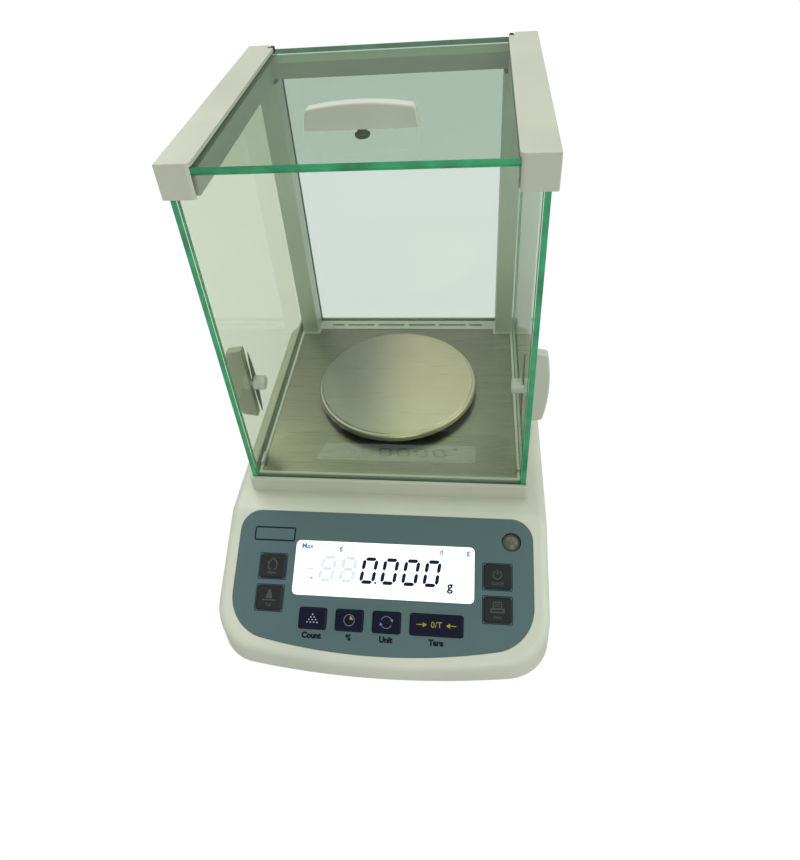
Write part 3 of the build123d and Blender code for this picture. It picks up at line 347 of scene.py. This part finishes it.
class BALANCE_OT_finishes(bpy.types.Operator):
    """Give every carried-over piece its finish, apart from the display's window"""

    bl_idname = "balance.finishes"
    bl_label = "Finishes of the carried-over pieces"

    def execute(self, context):
        colours = context.scene.balance_colours
        nodes = frame["nodes"]
        housing = moulded("housing_ivory", colours.housing)
        shield = moulded("shield_paint", colours.shield, 0.35, 900.0, 0.02 * MM)
        panel = moulded("panel_film", colours.panel, 0.38, 3000.0, 0.001 * MM, 0.03, 0.3)
        black = moulded("black_plastic", (0.02, 0.02, 0.02), 0.5)
        rubber = moulded("soft_rubber", (0.015, 0.015, 0.015), 0.8)
        # painted shade: the handles have the housing's ivory, made a little darker for the shadow they stand
        # in
        handle = moulded("handle_ivory_painted_shade", shade(colours.housing, 0.93), 0.5)
        dark = moulded("dark_screw", (0.05, 0.05, 0.04), 0.4)
        milky = moulded("milky_plastic", (0.66, 0.68, 0.58), 0.25)
        navy = moulded("key_navy", (0.005, 0.006, 0.02), 0.3, 2500.0, 0.001 * MM, 0.05, 0.2)
        grey = moulded("key_grey", (0.02, 0.024, 0.023), 0.35, 2500.0, 0.001 * MM, 0.05, 0.2)
        board = moulded("board_green", (0.01, 0.09, 0.03), 0.3)
        post = brushed("post_metal", (0.66, 0.74, 0.62), 0.4, (2600, 2600, 20))
        steel = brushed("floor_steel", (0.29, 0.29, 0.21), 0.3, (20, 2600, 2600))
        # painted reflection: the pan turns lighter and warmer towards its right side
        plate = brushed("pan_steel", (0.33, 0.33, 0.26), 0.32, (20, 2600, 2600), (0.68, 0.62, 0.42))
        cast = brushed("cast_metal", (0.35, 0.35, 0.35), 0.45, (40, 40, 40))
        screw = brushed("screw_steel", (0.55, 0.55, 0.54), 0.25, (200, 200, 200))
        copper = brushed("coil_copper", (0.55, 0.22, 0.09), 0.35, (100, 100, 2000))
        groups = {
            housing: ("base_housing", "base_plate"),
            shield: ("shield_base_frame", "left_top_rail", "right_top_rail", "rear_crossbeam"),
            panel: ("control_panel",),
            black: ("position_sensor", "level_cup", "power_jack", *[f"foot_screw_{n}" for n in FOOT_NAMES]),
            rubber: ("carrier_pads", "top_door_bumpers", *[f"foot_pad_{n}" for n in FOOT_NAMES]),
            handle: ("left_door_handle", "right_door_handle", "top_door_handle"),
            milky: ("left_door_nut", "right_door_nut", "lcd_module", "level_vial"),
            navy: tuple(f"key_{n}" for n in LOWER_KEYS),
            grey: tuple(f"key_{n}" for n in SIDE_KEYS),
            board: ("main_board", "keypad_board"),
            post: ("rear_left_post", "rear_right_post"),
            steel: ("floor_plate",),
            plate: ("weighing_pan",),
            dark: ("top_door_screw",),
            cast: ("pan_carrier", "cell_frame", "cell_guides", "cell_hanger", "cell_lever", "magnet_pot"),
            screw: ("base_plate_screws", "shield_screws", "board_standoffs", "serial_port"),
            copper: ("coil",),
        }
        for material, names in groups.items():
            for name in names:
                cover(nodes[name], material)
        return {"FINISHED"}


# Glass panes with ground edges
def pane_mesh(node):
    """A merged copy of a pane's CAD mesh."""
    mesh = frame["nodes"][node].data.copy()
    shape = bmesh.new()
    shape.from_mesh(mesh)
    bmesh.ops.remove_doubles(shape, verts=shape.verts, dist=0.001 * MM)
    bmesh.ops.dissolve_limit(shape, angle_limit=radians(2), verts=shape.verts, edges=shape.edges)
    shape.to_mesh(mesh)
    shape.free()
    return mesh


class BALANCE_OT_panes(bpy.types.Operator):
    """Make the five panes of the draft shield"""

    bl_idname = "balance.panes"
    bl_label = "Glass panes"

    def execute(self, context):
        colours = context.scene.balance_colours
        edge = pane_edge("pane_edge", colours.glass_edge)
        for name, tint in PANES.items():
            mesh = pane_mesh(name)
            low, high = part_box(name)
            size = high - low
            thin = min(range(3), key=lambda axis: size[axis])
            wide = [axis for axis in range(3) if axis != thin]
            pane = new_object(f"pane_{name}", mesh)
            cover(pane, pane_face(f"{name}_face", tint), edge)
            for polygon in mesh.polygons:
                middle = polygon.center
                inset = min(min(middle[i] - low[i], high[i] - middle[i]) for i in wide)
                is_face = abs(polygon.normal[thin]) > 0.9
                polygon.material_index = 0 if is_face or inset > EDGE_BAND else 1
            bevel = pane.modifiers.new("ground_edge", "BEVEL")
            bevel.width = 0.25 * MM
            bevel.segments = 1
            bevel.limit_method = "ANGLE"
            bevel.material = 1
            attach(pane, body_of(frame["nodes"][name])[0])
            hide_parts(name)
        return {"FINISHED"}


# Console: a flat working surface for printed marks
class Console:
    """Places points on the console: u across, v down from the panel's top edge, lift above its face."""

    def __init__(self, angle):
        sheet = 0.8 * MM  # the panel's thickness
        self.down = Vector((0, -cos(angle), -sin(angle)))
        self.out = Vector((0, -sin(angle), cos(angle)))
        self.origin = Vector((0, PANEL_HIGH.y - sheet * sin(angle), PANEL_HIGH.z))

    def point(self, u, v, lift=0.0):
        """A place on the console as a point of the model's frame."""
        return self.origin + Vector((u, 0, 0)) + self.down * v + self.out * lift

    def matrix(self, u, v, lift=0.0):
        """Where a flat drawing goes that has its X across and its Y up the slope."""
        turn = Matrix((Vector((1, 0, 0)), -self.down, self.out)).transposed().to_4x4()
        return Matrix.Translation(self.point(u, v, lift)) @ turn


def plates(name, outlines, thickness):
    """A mesh of flat plates in the XY plane, one for each closed outline of (x, y) points."""
    mesh = bpy.data.meshes.new(name)
    shape = bmesh.new()
    for outline in outlines:
        face = shape.faces.new([shape.verts.new((x, y, 0)) for x, y in outline])
        raised = bmesh.ops.extrude_face_region(shape, geom=[face])
        tops = [v for v in raised["geom"] if isinstance(v, bmesh.types.BMVert)]
        bmesh.ops.translate(shape, verts=tops, vec=(0, 0, thickness))
    bmesh.ops.recalc_face_normals(shape, faces=shape.faces)
    shape.to_mesh(mesh)
    shape.free()
    return mesh


def bar(x0, y0, x1, y1, width):
    """Outline of a straight stroke between two points."""
    along = Vector((x1 - x0, y1 - y0)).normalized()
    dx, dy = Vector((-along.y, along.x)) * width / 2
    return [(x0 - dx, y0 - dy), (x1 - dx, y1 - dy), (x1 + dx, y1 + dy), (x0 + dx, y0 + dy)]


def arc_bars(x, y, radius, start, end, width, steps=16):
    """Outlines of the short strokes that make an arc; angles in degrees."""
    angles = [radians(start + (end - start) * i / steps) for i in range(steps + 1)]
    inner, outer = radius - width / 2, radius + width / 2
    ring = []
    for a, b in zip(angles, angles[1:]):
        corners = ((inner, a), (outer, a), (outer, b), (inner, b))
        ring.append([(x + r * cos(t), y + r * sin(t)) for r, t in corners])
    return ring


def disc(x, y, radius, start=0, end=360, steps=20):
    """Outline of a disc, or of a slice of one."""
    whole = end - start >= 360
    angles = [radians(start + (end - start) * i / steps) for i in range(steps if whole else steps + 1)]
    points = [(x + radius * cos(a), y + radius * sin(a)) for a in angles]
    return points if whole else [(x, y), *points]


def settled(holder):
    """The mesh that an object shows; the object is removed."""
    shown = holder.evaluated_get(bpy.context.evaluated_depsgraph_get())
    mesh = bpy.data.meshes.new_from_object(shown)
    bpy.data.objects.remove(holder)
    return mesh


def writing(text, height, thickness, weight=0.06 * MM):
    """Text as a mesh in the XY plane, centred on the origin, with capitals of this height."""
    curve = bpy.data.curves.new("writing", "FONT")
    curve.body = text
    curve.size = height * FONT_SIZE_PER_CAPITAL
    curve.align_x = "CENTER"
    curve.align_y = "CENTER"
    curve.extrude = thickness / 2
    curve.resolution_u = 3
    curve.offset = weight
    holder = new_object("writing", curve)
    return settled(holder)


def mark(name, mesh, matrix, material, body):
    """A printed mark, moved to its place and riding on a body."""
    mesh.transform(matrix)
    obj = new_object(name, mesh)
    cover(obj, material)
    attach(obj, body)
    return obj


def printed(name, colour, roughness=0.4):
    """Ink: an even colour with a faint unevenness."""
    nodes = Nodes(name)
    shader = nodes.shader(colour, roughness, sheen=0.15)
    tone = nodes.mottle(nodes.noise(nodes.place(), 400.0), colour, 0.92, 1.08)
    nodes.link(tone, shader.inputs["Base Color"])
    return nodes.material


# Geometry Nodes: a row of copies, and a ring of copies
def copies_tree(name, material, **inputs):
    """A tree that puts the incoming mesh on points, with its input node and its copying node."""
    tree = bpy.data.node_groups.new(name, "GeometryNodeTree")
    tree.interface.new_socket("Geometry", in_out="INPUT", socket_type="NodeSocketGeometry")
    for label, kind in inputs.items():
        tree.interface.new_socket(label, in_out="INPUT", socket_type=kind)
    tree.interface.new_socket("Geometry", in_out="OUTPUT", socket_type="NodeSocketGeometry")
    nodes, links = tree.nodes, tree.links
    start, end = nodes.new("NodeGroupInput"), nodes.new("NodeGroupOutput")
    copies = nodes.new("GeometryNodeInstanceOnPoints")
    real = nodes.new("GeometryNodeRealizeInstances")
    paint = nodes.new("GeometryNodeSetMaterial")
    paint.inputs["Material"].default_value = material
    links.new(start.outputs["Geometry"], copies.inputs["Instance"])
    links.new(copies.outputs["Instances"], real.inputs["Geometry"])
    links.new(real.outputs["Geometry"], paint.inputs["Geometry"])
    links.new(paint.outputs["Geometry"], end.inputs["Geometry"])
    return tree, start, copies


def row_tree(material):
    """Copies of the incoming mesh in a straight row."""
    inputs = {"Count": "NodeSocketInt", "Step": "NodeSocketVector"}
    tree, start, copies = copies_tree("row_of_copies", material, **inputs)
    line = tree.nodes.new("GeometryNodeMeshLine")
    tree.links.new(start.outputs["Count"], line.inputs["Count"])
    tree.links.new(start.outputs["Step"], line.inputs["Offset"])
    tree.links.new(line.outputs["Mesh"], copies.inputs["Points"])
    return tree


def ring_tree(material):
    """Copies of the incoming mesh round a circle, each turned to face outwards."""
    inputs = {"Count": "NodeSocketInt", "Radius": "NodeSocketFloat"}
    tree, start, copies = copies_tree("ring_of_copies", material, **inputs)
    nodes, links = tree.nodes, tree.links
    circle = nodes.new("GeometryNodeMeshCircle")
    place = nodes.new("GeometryNodeInputPosition")
    turn = nodes.new("FunctionNodeAlignRotationToVector")
    turn.axis = "X"
    turn.pivot_axis = "Z"
    links.new(start.outputs["Count"], circle.inputs["Vertices"])
    links.new(start.outputs["Radius"], circle.inputs["Radius"])
    links.new(circle.outputs["Mesh"], copies.inputs["Points"])
    links.new(place.outputs["Position"], turn.inputs["Vector"])
    links.new(turn.outputs["Rotation"], copies.inputs["Rotation"])
    return tree


def repeated(mesh, tree, **values):
    """The plain mesh that a tree makes from a mesh, with the tree's inputs set by their names."""
    holder = new_object("holder", mesh)
    modifier = holder.modifiers.new("copies", "NODES")
    modifier.node_group = tree
    for item in tree.interface.items_tree:
        if item.item_type == "SOCKET" and item.in_out == "INPUT" and item.name in values:
            modifier[item.identifier] = values[item.name]
    return settled(holder)


# Display: seven-segment figures, units and markers
def segment_outlines(height, width, stroke, lit):
    """Outlines of a figure's segments, leaning to the right; lit names them from a to g."""
    lean = tan(radians(8.5))
    gap = stroke * 0.16
    left, right = stroke / 2, width - stroke / 2
    low, middle, high = stroke / 2, height / 2, height - stroke / 2

    def flat(y):
        a, b, h = left + gap, right - gap, stroke / 2
        return [(a, y), (a + h, y + h), (b - h, y + h), (b, y), (b - h, y - h), (a + h, y - h)]

    def upright(x, y0, y1):
        a, b, h = y0 + gap, y1 - gap, stroke / 2
        return [(x, a), (x + h, a + h), (x + h, b - h), (x, b), (x - h, b - h), (x - h, a + h)]

    shapes = {
        "a": flat(high),
        "b": upright(right, middle, high),
        "c": upright(right, low, middle),
        "d": flat(low),
        "e": upright(left, low, middle),
        "f": upright(left, middle, high),
        "g": flat(middle),
    }
    return [[(x + y * lean, y) for x, y in shapes[key]] for key in lit]


class BALANCE_OT_display(bpy.types.Operator):
    """Make the display's figures, units and markers"""

    bl_idname = "balance.display"
    bl_label = "Display"

    def execute(self, context):
        sizes = context.scene.balance_sizes
        self.console = Console(sizes.console_angle)
        thickness = sizes.print_thickness
        ink = printed("display_ink", (0.004, 0.012, 0.045), 0.25)
        blue = printed("display_blue", (0.06, 0.25, 0.50), 0.3)
        ghost = printed("display_ghost", (0.80, 0.98, 1.0), 0.3)
        cover(frame["nodes"]["lcd_window"], self.surface())
        stroke, width = 2.3 * MM, 10.2 * MM
        bottom, first = 45.5 * MM, -14.3 * MM
        step = (sizes.digit_pitch, 0, 0)
        outlines = segment_outlines(sizes.digit_height, width, stroke, "abcdef")
        zero = plates("figure", outlines, thickness)
        row = repeated(zero, row_tree(ink), Count=4, Step=step)
        self.on_window("figures", row, first, bottom, ink)
        outlines = segment_outlines(sizes.digit_height, width, stroke, "abcdefg")
        eight = plates("ghost_figure", outlines, thickness)
        row = repeated(eight, row_tree(ghost), Count=2, Step=step)
        self.on_window("ghost_figures", row, first - 2 * sizes.digit_pitch, bottom, ghost)
        dot = plates("point", [disc(0, 0, 0.75 * MM)], thickness)
        self.on_window("point", dot, first + width + 0.9 * MM, bottom - 0.9 * MM, ink)
        minus = plates("minus", [bar(-2.8 * MM, 0, 2.8 * MM, 0, 1.4 * MM)], thickness)
        self.on_window("minus", minus, -47 * MM, 37.5 * MM, ghost)
        arrow = [(0, -0.8 * MM), (1.4 * MM, 0), (0, 0.8 * MM)]
        marker = plates("marker", [bar(-2.2 * MM, 0, 0, 0, 0.5 * MM), arrow], thickness)
        self.on_window("zero_marker", marker, -46 * MM, 43.5 * MM, blue)
        for name, text, u, v, height, material in (
            ("unit", "g", 45.2, 44.4, 6.0, ink),
            ("max", "Max", -50.4, 22.9, 3.4, blue),
            ("max_value", "200", -40.5, 23.0, 2.8, ghost),
            ("max_unit", "g", -27.5, 23.2, 3.4, blue),
            ("step", "d", 39.0, 23.2, 3.4, blue),
            ("step_value", "0.001", 48.0, 23.6, 2.8, ghost),
            ("step_unit", "g", 56.6, 22.6, 3.4, blue),
        ):
            mesh = writing(text, height * MM, thickness, 0.035 * height * MM)
            self.on_window(name, mesh, u * MM, v * MM, material, thickness / 2)
        return {"FINISHED"}

    def on_window(self, name, mesh, u, v, material, lift=0.0):
        """A mark on the display's window, u across and v down the console."""
        matrix = self.console.matrix(u, v, lift)
        mark(f"display_{name}", mesh, matrix, material, "base")

    def surface(self):
        """Pale display behind a glossy window."""
        nodes = Nodes("display_surface")
        shader = nodes.shader((0.9, 0.95, 0.95), 0.12)
        uneven = nodes.spread(nodes.noise(nodes.place(), 18.0), 0, 1)
        tone = nodes.blend(uneven, (0.86, 0.93, 0.93), (0.93, 0.96, 0.95))
        nodes.link(tone, shader.inputs["Base Color"])
        shader.inputs["Emission Color"].default_value = (0.93, 0.98, 1.0, 1)
        shader.inputs["Emission Strength"].default_value = 0.6
        return nodes.material


# Small pieces: dark plates of painted shade under the side handles, bubble level and the ribs of the feet's
# wheels
class BALANCE_OT_painted_shade_plates(bpy.types.Operator):
    """Make dark lens-shaped plates between the side doors' glass and their nuts, as painted shade where the
    handles' bases meet the glass
    """

    bl_idname = "balance.backing_plates"
    bl_label = "Painted shade under the side handles"

    def execute(self, context):
        # painted shade: these dark plates stand for the shadow where each side handle's base meets the glass
        dark = moulded("backing_plate", (0.10, 0.11, 0.065), 0.6)
        half_length, bulge, thickness, steps = 27.0 * MM, 3.4 * MM, 0.4 * MM, 12
        rises = [half_length * (2 * i / steps - 1) for i in range(steps + 1)]
        side = [(bulge * (1 - (z / half_length) ** 2), z) for z in rises]
        outline = side + [(-y, z) for y, z in reversed(side[1:-1])]
        for name, sign in (("left", -1), ("right", 1)):
            glass_low, glass_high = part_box(f"{name}_door_glass")
            low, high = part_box(f"{name}_door_handle")
            seat = glass_high.x if sign < 0 else glass_low.x
            middle = (low + high) / 2
            # the plate's X goes to Y, its Y to Z, and its thickness inwards from the glass
            turn = Matrix(((0, 0, -sign, seat), (1, 0, 0, middle.y), (0, 1, 0, middle.z), (0, 0, 0, 1)))
            mesh = plates(f"backing_{name}", [outline], thickness)
            if sign > 0:  # here that turn is a mirroring one
                mesh.flip_normals()
            mark(f"{name}_backing_plate", mesh, turn, dark, f"{name}_door")
        return {"FINISHED"}


def lathe(name, profile, steps=48):
    """A closed mesh turned about Z from (radius, height) points that start and end on the axis."""
    mesh = bpy.data.meshes.new(name)
    shape = bmesh.new()
    rings = []
    for radius, height in profile:
        count = steps if radius > 0 else 1
        angles = [radians(360 * i / count) for i in range(count)]
        rings.append([shape.verts.new((radius * cos(a), radius * sin(a), height)) for a in angles])
    for low, high in zip(rings, rings[1:]):
        for i in range(steps):
            j = i + 1
            corners = (low[i % len(low)], low[j % len(low)], high[j % len(high)], high[i % len(high)])
            shape.faces.new(list(dict.fromkeys(corners)))
    bmesh.ops.remove_doubles(shape, verts=shape.verts, dist=0.001 * MM)
    bmesh.ops.recalc_face_normals(shape, faces=shape.faces)
    for face in shape.faces:
        face.smooth = True
    shape.to_mesh(mesh)
    shape.free()
    return mesh


def dome(radius, height, base, steps=10):
    """Profile of a low dome with a flat underside, for lathe."""
    ball = (radius**2 + height**2) / (2 * height)
    widths = [radius * i / steps for i in range(steps, 0, -1)]
    crown = [(r, base + (ball**2 - r**2) ** 0.5 - ball + height) for r in widths]
    return [(0, base), *crown, (0, base + height)]


class BALANCE_OT_level(bpy.types.Operator):
    """Make the domed lens over the bubble level"""

    bl_idname = "balance.level"
    bl_label = "Bubble level"

    def execute(self, context):
        console = Console(context.scene.balance_sizes.console_angle)
        middle = (VIAL_LOW + VIAL_HIGH) / 2
        below = (PANEL_HIGH.y - middle.y) / -console.down.y
        radius, height, depth = 6.2 * MM, 3.0 * MM, 3.1 * MM
        lens = moulded("level_lens", (0.11, 0.11, 0.08), 0.3, depth=0.0)
        mesh = lathe("lens", dome(radius, height, 0))
        mark("level_lens", mesh, console.matrix(middle.x, below, -depth), lens, "base")
        return {"FINISHED"}


class BALANCE_OT_foot_ribs(bpy.types.Operator):
    """Make the ribs round the feet's wheels"""

    bl_idname = "balance.foot_ribs"
    bl_label = "Ribs of the feet"

    def execute(self, context):
        black = moulded("foot_ribs", (0.02, 0.02, 0.02), 0.5)
        radius, chamfer, rib_radius, rib_count = 12.0 * MM, 0.8 * MM, 0.7 * MM, 28
        wheel_low, wheel_high = 2.7 * MM + chamfer, 6.9 * MM - chamfer
        for name in FOOT_NAMES:
            low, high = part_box(f"foot_screw_{name}")
            rib = plates("rib", [disc(0, 0, rib_radius, steps=10)], wheel_high - wheel_low)
            ring = repeated(rib, ring_tree(black), Count=rib_count, Radius=radius)
            place = Matrix.Translation(((low.x + high.x) / 2, (low.y + high.y) / 2, wheel_low))
            mark(f"foot_ribs_{name}", ring, place, black, f"{name}_screw")
        return {"FINISHED"}


# Panel print and key legends
class BALANCE_OT_legends(bpy.types.Operator):
    """Print the panel's words and the keys' symbols"""

    bl_idname = "balance.legends"
    bl_label = "Legends"

    def execute(self, context):
        sizes = context.scene.balance_sizes
        self.console = Console(sizes.console_angle)
        self.thickness = sizes.print_thickness
        self.dark = printed("legend_dark", (0.006, 0.012, 0.016))
        self.white = printed("legend_white", (0.46, 0.48, 0.54))
        self.dim = printed("legend_dim", (0.20, 0.23, 0.33))
        self.yellow = printed("legend_yellow", (0.34, 0.29, 0.03))
        self.grey = printed("legend_grey", (0.075, 0.08, 0.08))
        self.words()
        self.outline_box()
        self.key_frames()
        for key, outlines in self.symbols().items():
            outlines = [[(x * MM, y * MM) for x, y in outline] for outline in outlines]
            self.on_key(key, "symbol", plates(f"{key}_symbol", outlines, self.thickness), self.key_ink(key))
        wedge = plates("wedge", [disc(0.3 * MM, 0.3 * MM, 2.1 * MM, 0, 90)], self.thickness)
        self.on_key("percent", "wedge", wedge, self.yellow)
        figure = writing("0/T", 3.8 * MM, self.thickness, 0)
        self.on_key("tare", "figure", figure, self.yellow, self.thickness / 2)
        for key, text in (("menu", "Menu"), ("cal", "Cal"), ("power", "On/Off"), ("print", "Print")):
            mesh = writing(text, 1.9 * MM, self.thickness)
            self.on_key(key, "word", mesh, self.grey, self.thickness / 2, -4.4 * MM)
        return {"FINISHED"}

    def key_ink(self, key):
        """Ink of a key's symbol."""
        if key == "tare":
            return self.yellow
        if key == "count":
            return self.white
        return self.dim if key in LOWER_KEYS else self.grey

    def words(self):
        """Words under the lower row of keys."""
        for key, text in (("count", "Count"), ("percent", "%"), ("unit", "Unit"), ("tare", "Tare")):
            low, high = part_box(f"key_{key}")
            mesh = writing(text, 3.5 * MM, self.thickness, 0.3 * MM)
            matrix = self.console.matrix((low.x + high.x) / 2, 79.0 * MM, self.thickness / 2)
            mark(f"word_{key}", mesh, matrix, self.dark, "base")

    def outline_box(self):
        """Bare outlined field at the panel's upper left."""
        left, right, top, low, line = -87.5 * MM, -60.0 * MM, 11.4 * MM, 19.9 * MM, 1.0 * MM
        sides = [
            bar(left, -top, right, -top, line),
            bar(left, -low, right, -low, line),
            bar(left, -top - line / 2, left, -low + line / 2, line),
            bar(right, -top - line / 2, right, -low + line / 2, line),
        ]
        mesh = plates("outline_box", sides, self.thickness)
        mark("panel_outline_box", mesh, self.console.matrix(0, 0), self.dark, "base")

    def key_frames(self):
        """Thin dark frames on the panel round the four side keys."""
        edge = printed("key_frame_ink", (0.02, 0.03, 0.05))
        line, half_width, half_height = 0.6 * MM, 9.3 * MM, 8.3 * MM
        reach = half_height - line / 2
        edges = [bar(-half_width, y, half_width, y, line) for y in (-half_height, half_height)]
        edges += [bar(x, -reach, x, reach, line) for x in (-half_width, half_width)]
        for key in SIDE_KEYS:
            u, v = self.key_middle(key)
            mesh = plates(f"frame_{key}", edges, self.thickness)
            mark(f"key_frame_{key}", mesh, self.console.matrix(u, v), edge, "base")

    def key_middle(self, key):
        """Where the middle of a key lies on the console, across and down."""
        low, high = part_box(f"key_{key}")
        offsets = [v.co - self.console.origin for v in frame["nodes"][f"key_{key}"].data.vertices]
        top = max(self.console.out.dot(offset) for offset in offsets)
        crown = [self.console.down.dot(o) for o in offsets if self.console.out.dot(o) > top - 0.05 * MM]
        return (low.x + high.x) / 2, (min(crown) + max(crown)) / 2

    def on_key(self, key, kind, mesh, material, lift=0.0, shift=0.0):
        """A mark on top of a key, riding on it."""
        vertices = frame["nodes"][f"key_{key}"].data.vertices
        top = max(self.console.out.dot(v.co - self.console.origin) for v in vertices)
        u, v = self.key_middle(key)
        matrix = self.console.matrix(u, v - shift, top + lift)
        mark(f"{key}_{kind}", mesh, matrix, material, f"{key}_key")

    def symbols(self):
        """Strokes of each key's symbol, in millimetres from the key's middle."""
        line, bold = 0.34, 0.8
        pyramid = [
            disc((column - row / 2) * 2.2, 2.3 - row * 1.6, 0.45, steps=10)
            for row in range(4)
            for column in range(row + 1)
        ]
        arrows = [bar(side * 12.5, 0, side * 8.2, 0, 0.5) for side in (-1, 1)]
        arrows += [[(side * 8.6, 1.5), (side * 6.0, 0), (side * 8.6, -1.5)] for side in (-1, 1)]
        turning = arc_bars(0, 0, 3.6, 25, 155, line) + arc_bars(0, 0, 3.6, 205, 335, line)
        tip = ((3.9, 0.2), (2.3, 1.6), (4.3, 2.1))
        turning += [[(side * x, side * y) for x, y in tip] for side in (1, -1)]
        house = [bar(side * 3.6, 1.6, 0, 5.0, bold) for side in (-1, 1)]
        house += [bar(side * 2.7, -2.0, side * 2.7, 2.2, bold) for side in (-1, 1)]
        house += [bar(-2.7, -2.0, -0.9, -2.0, bold), bar(0.9, -2.0, 2.7, -2.0, bold)]
        weight = [
            [(-2.2, -0.4), (-1.2, 3.4), (1.2, 3.4), (2.2, -0.4)],
            disc(0, 4.2, 0.9),
            bar(-4.6, -1.5, 4.6, -1.5, 0.7),
        ]
        power = arc_bars(0, 1.2, 2.6, 125, 415, bold) + [bar(0, 1.4, 0, 4.4, bold)]
        paper = [bar(-2.6, 4.8, 2.6, 4.8, 0.6)]
        paper += [bar(side * 2.6, 1.2, side * 2.6, 4.8, 0.6) for side in (-1, 1)]
        paper += [bar(-1.6, y, 1.6, y, 0.5) for y in (3.6, 2.4)]
        body = [bar(-4.4, y, 4.4, y, 0.9) for y in (0.6, -1.4)]
        body += [bar(side * 4.0, -1.4, side * 4.0, 0.6, 0.9) for side in (-1, 1)]
        return {
            "count": pyramid,
            "percent": arc_bars(0, 0, 3.4, 0, 360, line, 32),
            "unit": turning,
            "tare": arrows,
            "menu": house,
            "cal": weight,
            "power": power,
            "print": paper + body,
        }


# Stage: floor, backdrop, lamps and camera
class BALANCE_OT_stage(bpy.types.Operator):
    """Set up the floor, the lamps, the backdrop and the camera"""

    bl_idname = "balance.stage"
    bl_label = "Stage and camera"

    def execute(self, context):
        scene = context.scene
        scene.view_settings.view_transform = "Standard"
        self.floor()
        self.backdrop(scene)
        for name, (position, width, power) in LAMPS.items():
            self.lamp(name, position, width, power)
        self.camera(scene)
        return {"FINISHED"}

    def floor(self):
        """A matt pale floor that the camera sees as white, as in the photograph."""
        mesh = bpy.data.meshes.new("floor")
        half = 6.0
        corners = [(-half, -half, 0), (half, -half, 0), (half, half, 0), (-half, half, 0)]
        mesh.from_pydata(corners, [], [(0, 1, 2, 3)])
        nodes = Nodes("floor_pale")
        matt = nodes.add("ShaderNodeBsdfDiffuse")
        matt.inputs["Color"].default_value = (0.6, 0.6, 0.6, 1)
        white = nodes.add("ShaderNodeEmission")
        rays = nodes.add("ShaderNodeLightPath")
        both = nodes.add("ShaderNodeMixShader")
        nodes.link(rays.outputs["Is Camera Ray"], both.inputs[0])
        nodes.link(matt.outputs[0], both.inputs[1])
        nodes.link(white.outputs[0], both.inputs[2])
        nodes.link(both.outputs[0], nodes.output.inputs["Surface"])
        floor = new_object("floor", mesh)
        cover(floor, nodes.material)

    def backdrop(self, scene):
        """White backdrop for the camera, softer light for the object."""
        world = bpy.data.worlds.new("backdrop")
        scene.world = world
        world.use_nodes = True
        tree = world.node_tree
        tree.nodes.clear()
        output = tree.nodes.new("ShaderNodeOutputWorld")
        background = tree.nodes.new("ShaderNodeBackground")
        rays = tree.nodes.new("ShaderNodeLightPath")
        strength = tree.nodes.new("ShaderNodeMapRange")
        strength.inputs["To Min"].default_value = 0.5
        strength.inputs["To Max"].default_value = 1.0
        tree.links.new(rays.outputs["Is Camera Ray"], strength.inputs["Value"])
        tree.links.new(strength.outputs["Result"], background.inputs["Strength"])
        tree.links.new(background.outputs[0], output.inputs["Surface"])

    def lamp(self, name, position, size, power):
        """A square soft lamp that faces the middle of the balance."""
        data = bpy.data.lights.new(name, "AREA")
        data.size = size
        data.energy = power
        lamp = bpy.data.objects.new(name, data)
        lamp.location = position
        towards = Vector(LAMP_TARGET) - Vector(position)
        lamp.rotation_euler = towards.to_track_quat("-Z", "Y").to_euler()
        bpy.context.scene.collection.objects.link(lamp)

    def camera(self, scene):
        """The photograph's viewpoint: a wide view from above and to the right."""
        data = bpy.data.cameras.new("camera")
        data.sensor_width = 36.0
        data.lens = CAMERA_LENS
        data.shift_x, data.shift_y = CAMERA_SHIFT
        camera = bpy.data.objects.new("camera", data)
        camera.location = CAMERA_PLACE
        camera.rotation_mode = "ZYX"
        camera.rotation_euler = [radians(angle) for angle in CAMERA_ANGLES]
        scene.collection.objects.link(camera)
        scene.camera = camera


class BALANCE_PT_panel(bpy.types.Panel):
    """Lists the operators and their settings"""

    bl_idname = "BALANCE_PT_panel"
    bl_label = "Precision balance"
    bl_space_type = "VIEW_3D"
    bl_region_type = "UI"
    bl_category = "Balance"

    def draw(self, context):
        layout = self.layout
        for group in (context.scene.balance_colours, context.scene.balance_sizes):
            for key in group.__annotations__:
                layout.prop(group, key)
        for operator in OPERATORS:
            layout.operator(operator.bl_idname)


OPERATORS = (
    BALANCE_OT_finishes,
    BALANCE_OT_panes,
    BALANCE_OT_display,
    BALANCE_OT_painted_shade_plates,
    BALANCE_OT_level,
    BALANCE_OT_foot_ribs,
    BALANCE_OT_legends,
    BALANCE_OT_stage,
)
CLASSES = (BalanceColours, BalanceSizes, *OPERATORS, BALANCE_PT_panel)


def register():
    """Register the classes and hang the settings on the scene."""
    for cls in CLASSES:
        bpy.utils.register_class(cls)
    bpy.types.Scene.balance_colours = bpy.props.PointerProperty(type=BalanceColours)
    bpy.types.Scene.balance_sizes = bpy.props.PointerProperty(type=BalanceSizes)


def unregister():
    """Undo register."""
    del bpy.types.Scene.balance_sizes
    del bpy.types.Scene.balance_colours
    for cls in reversed(CLASSES):
        bpy.utils.unregister_class(cls)


def main():
    """Build every piece in order."""
    register()
    bpy.ops.balance.finishes()
    bpy.ops.balance.panes()
    bpy.ops.balance.display()
    bpy.ops.balance.backing_plates()
    bpy.ops.balance.level()
    bpy.ops.balance.foot_ribs()
    bpy.ops.balance.legends()
    bpy.ops.balance.stage()


if __name__ == "__main__":
    main()
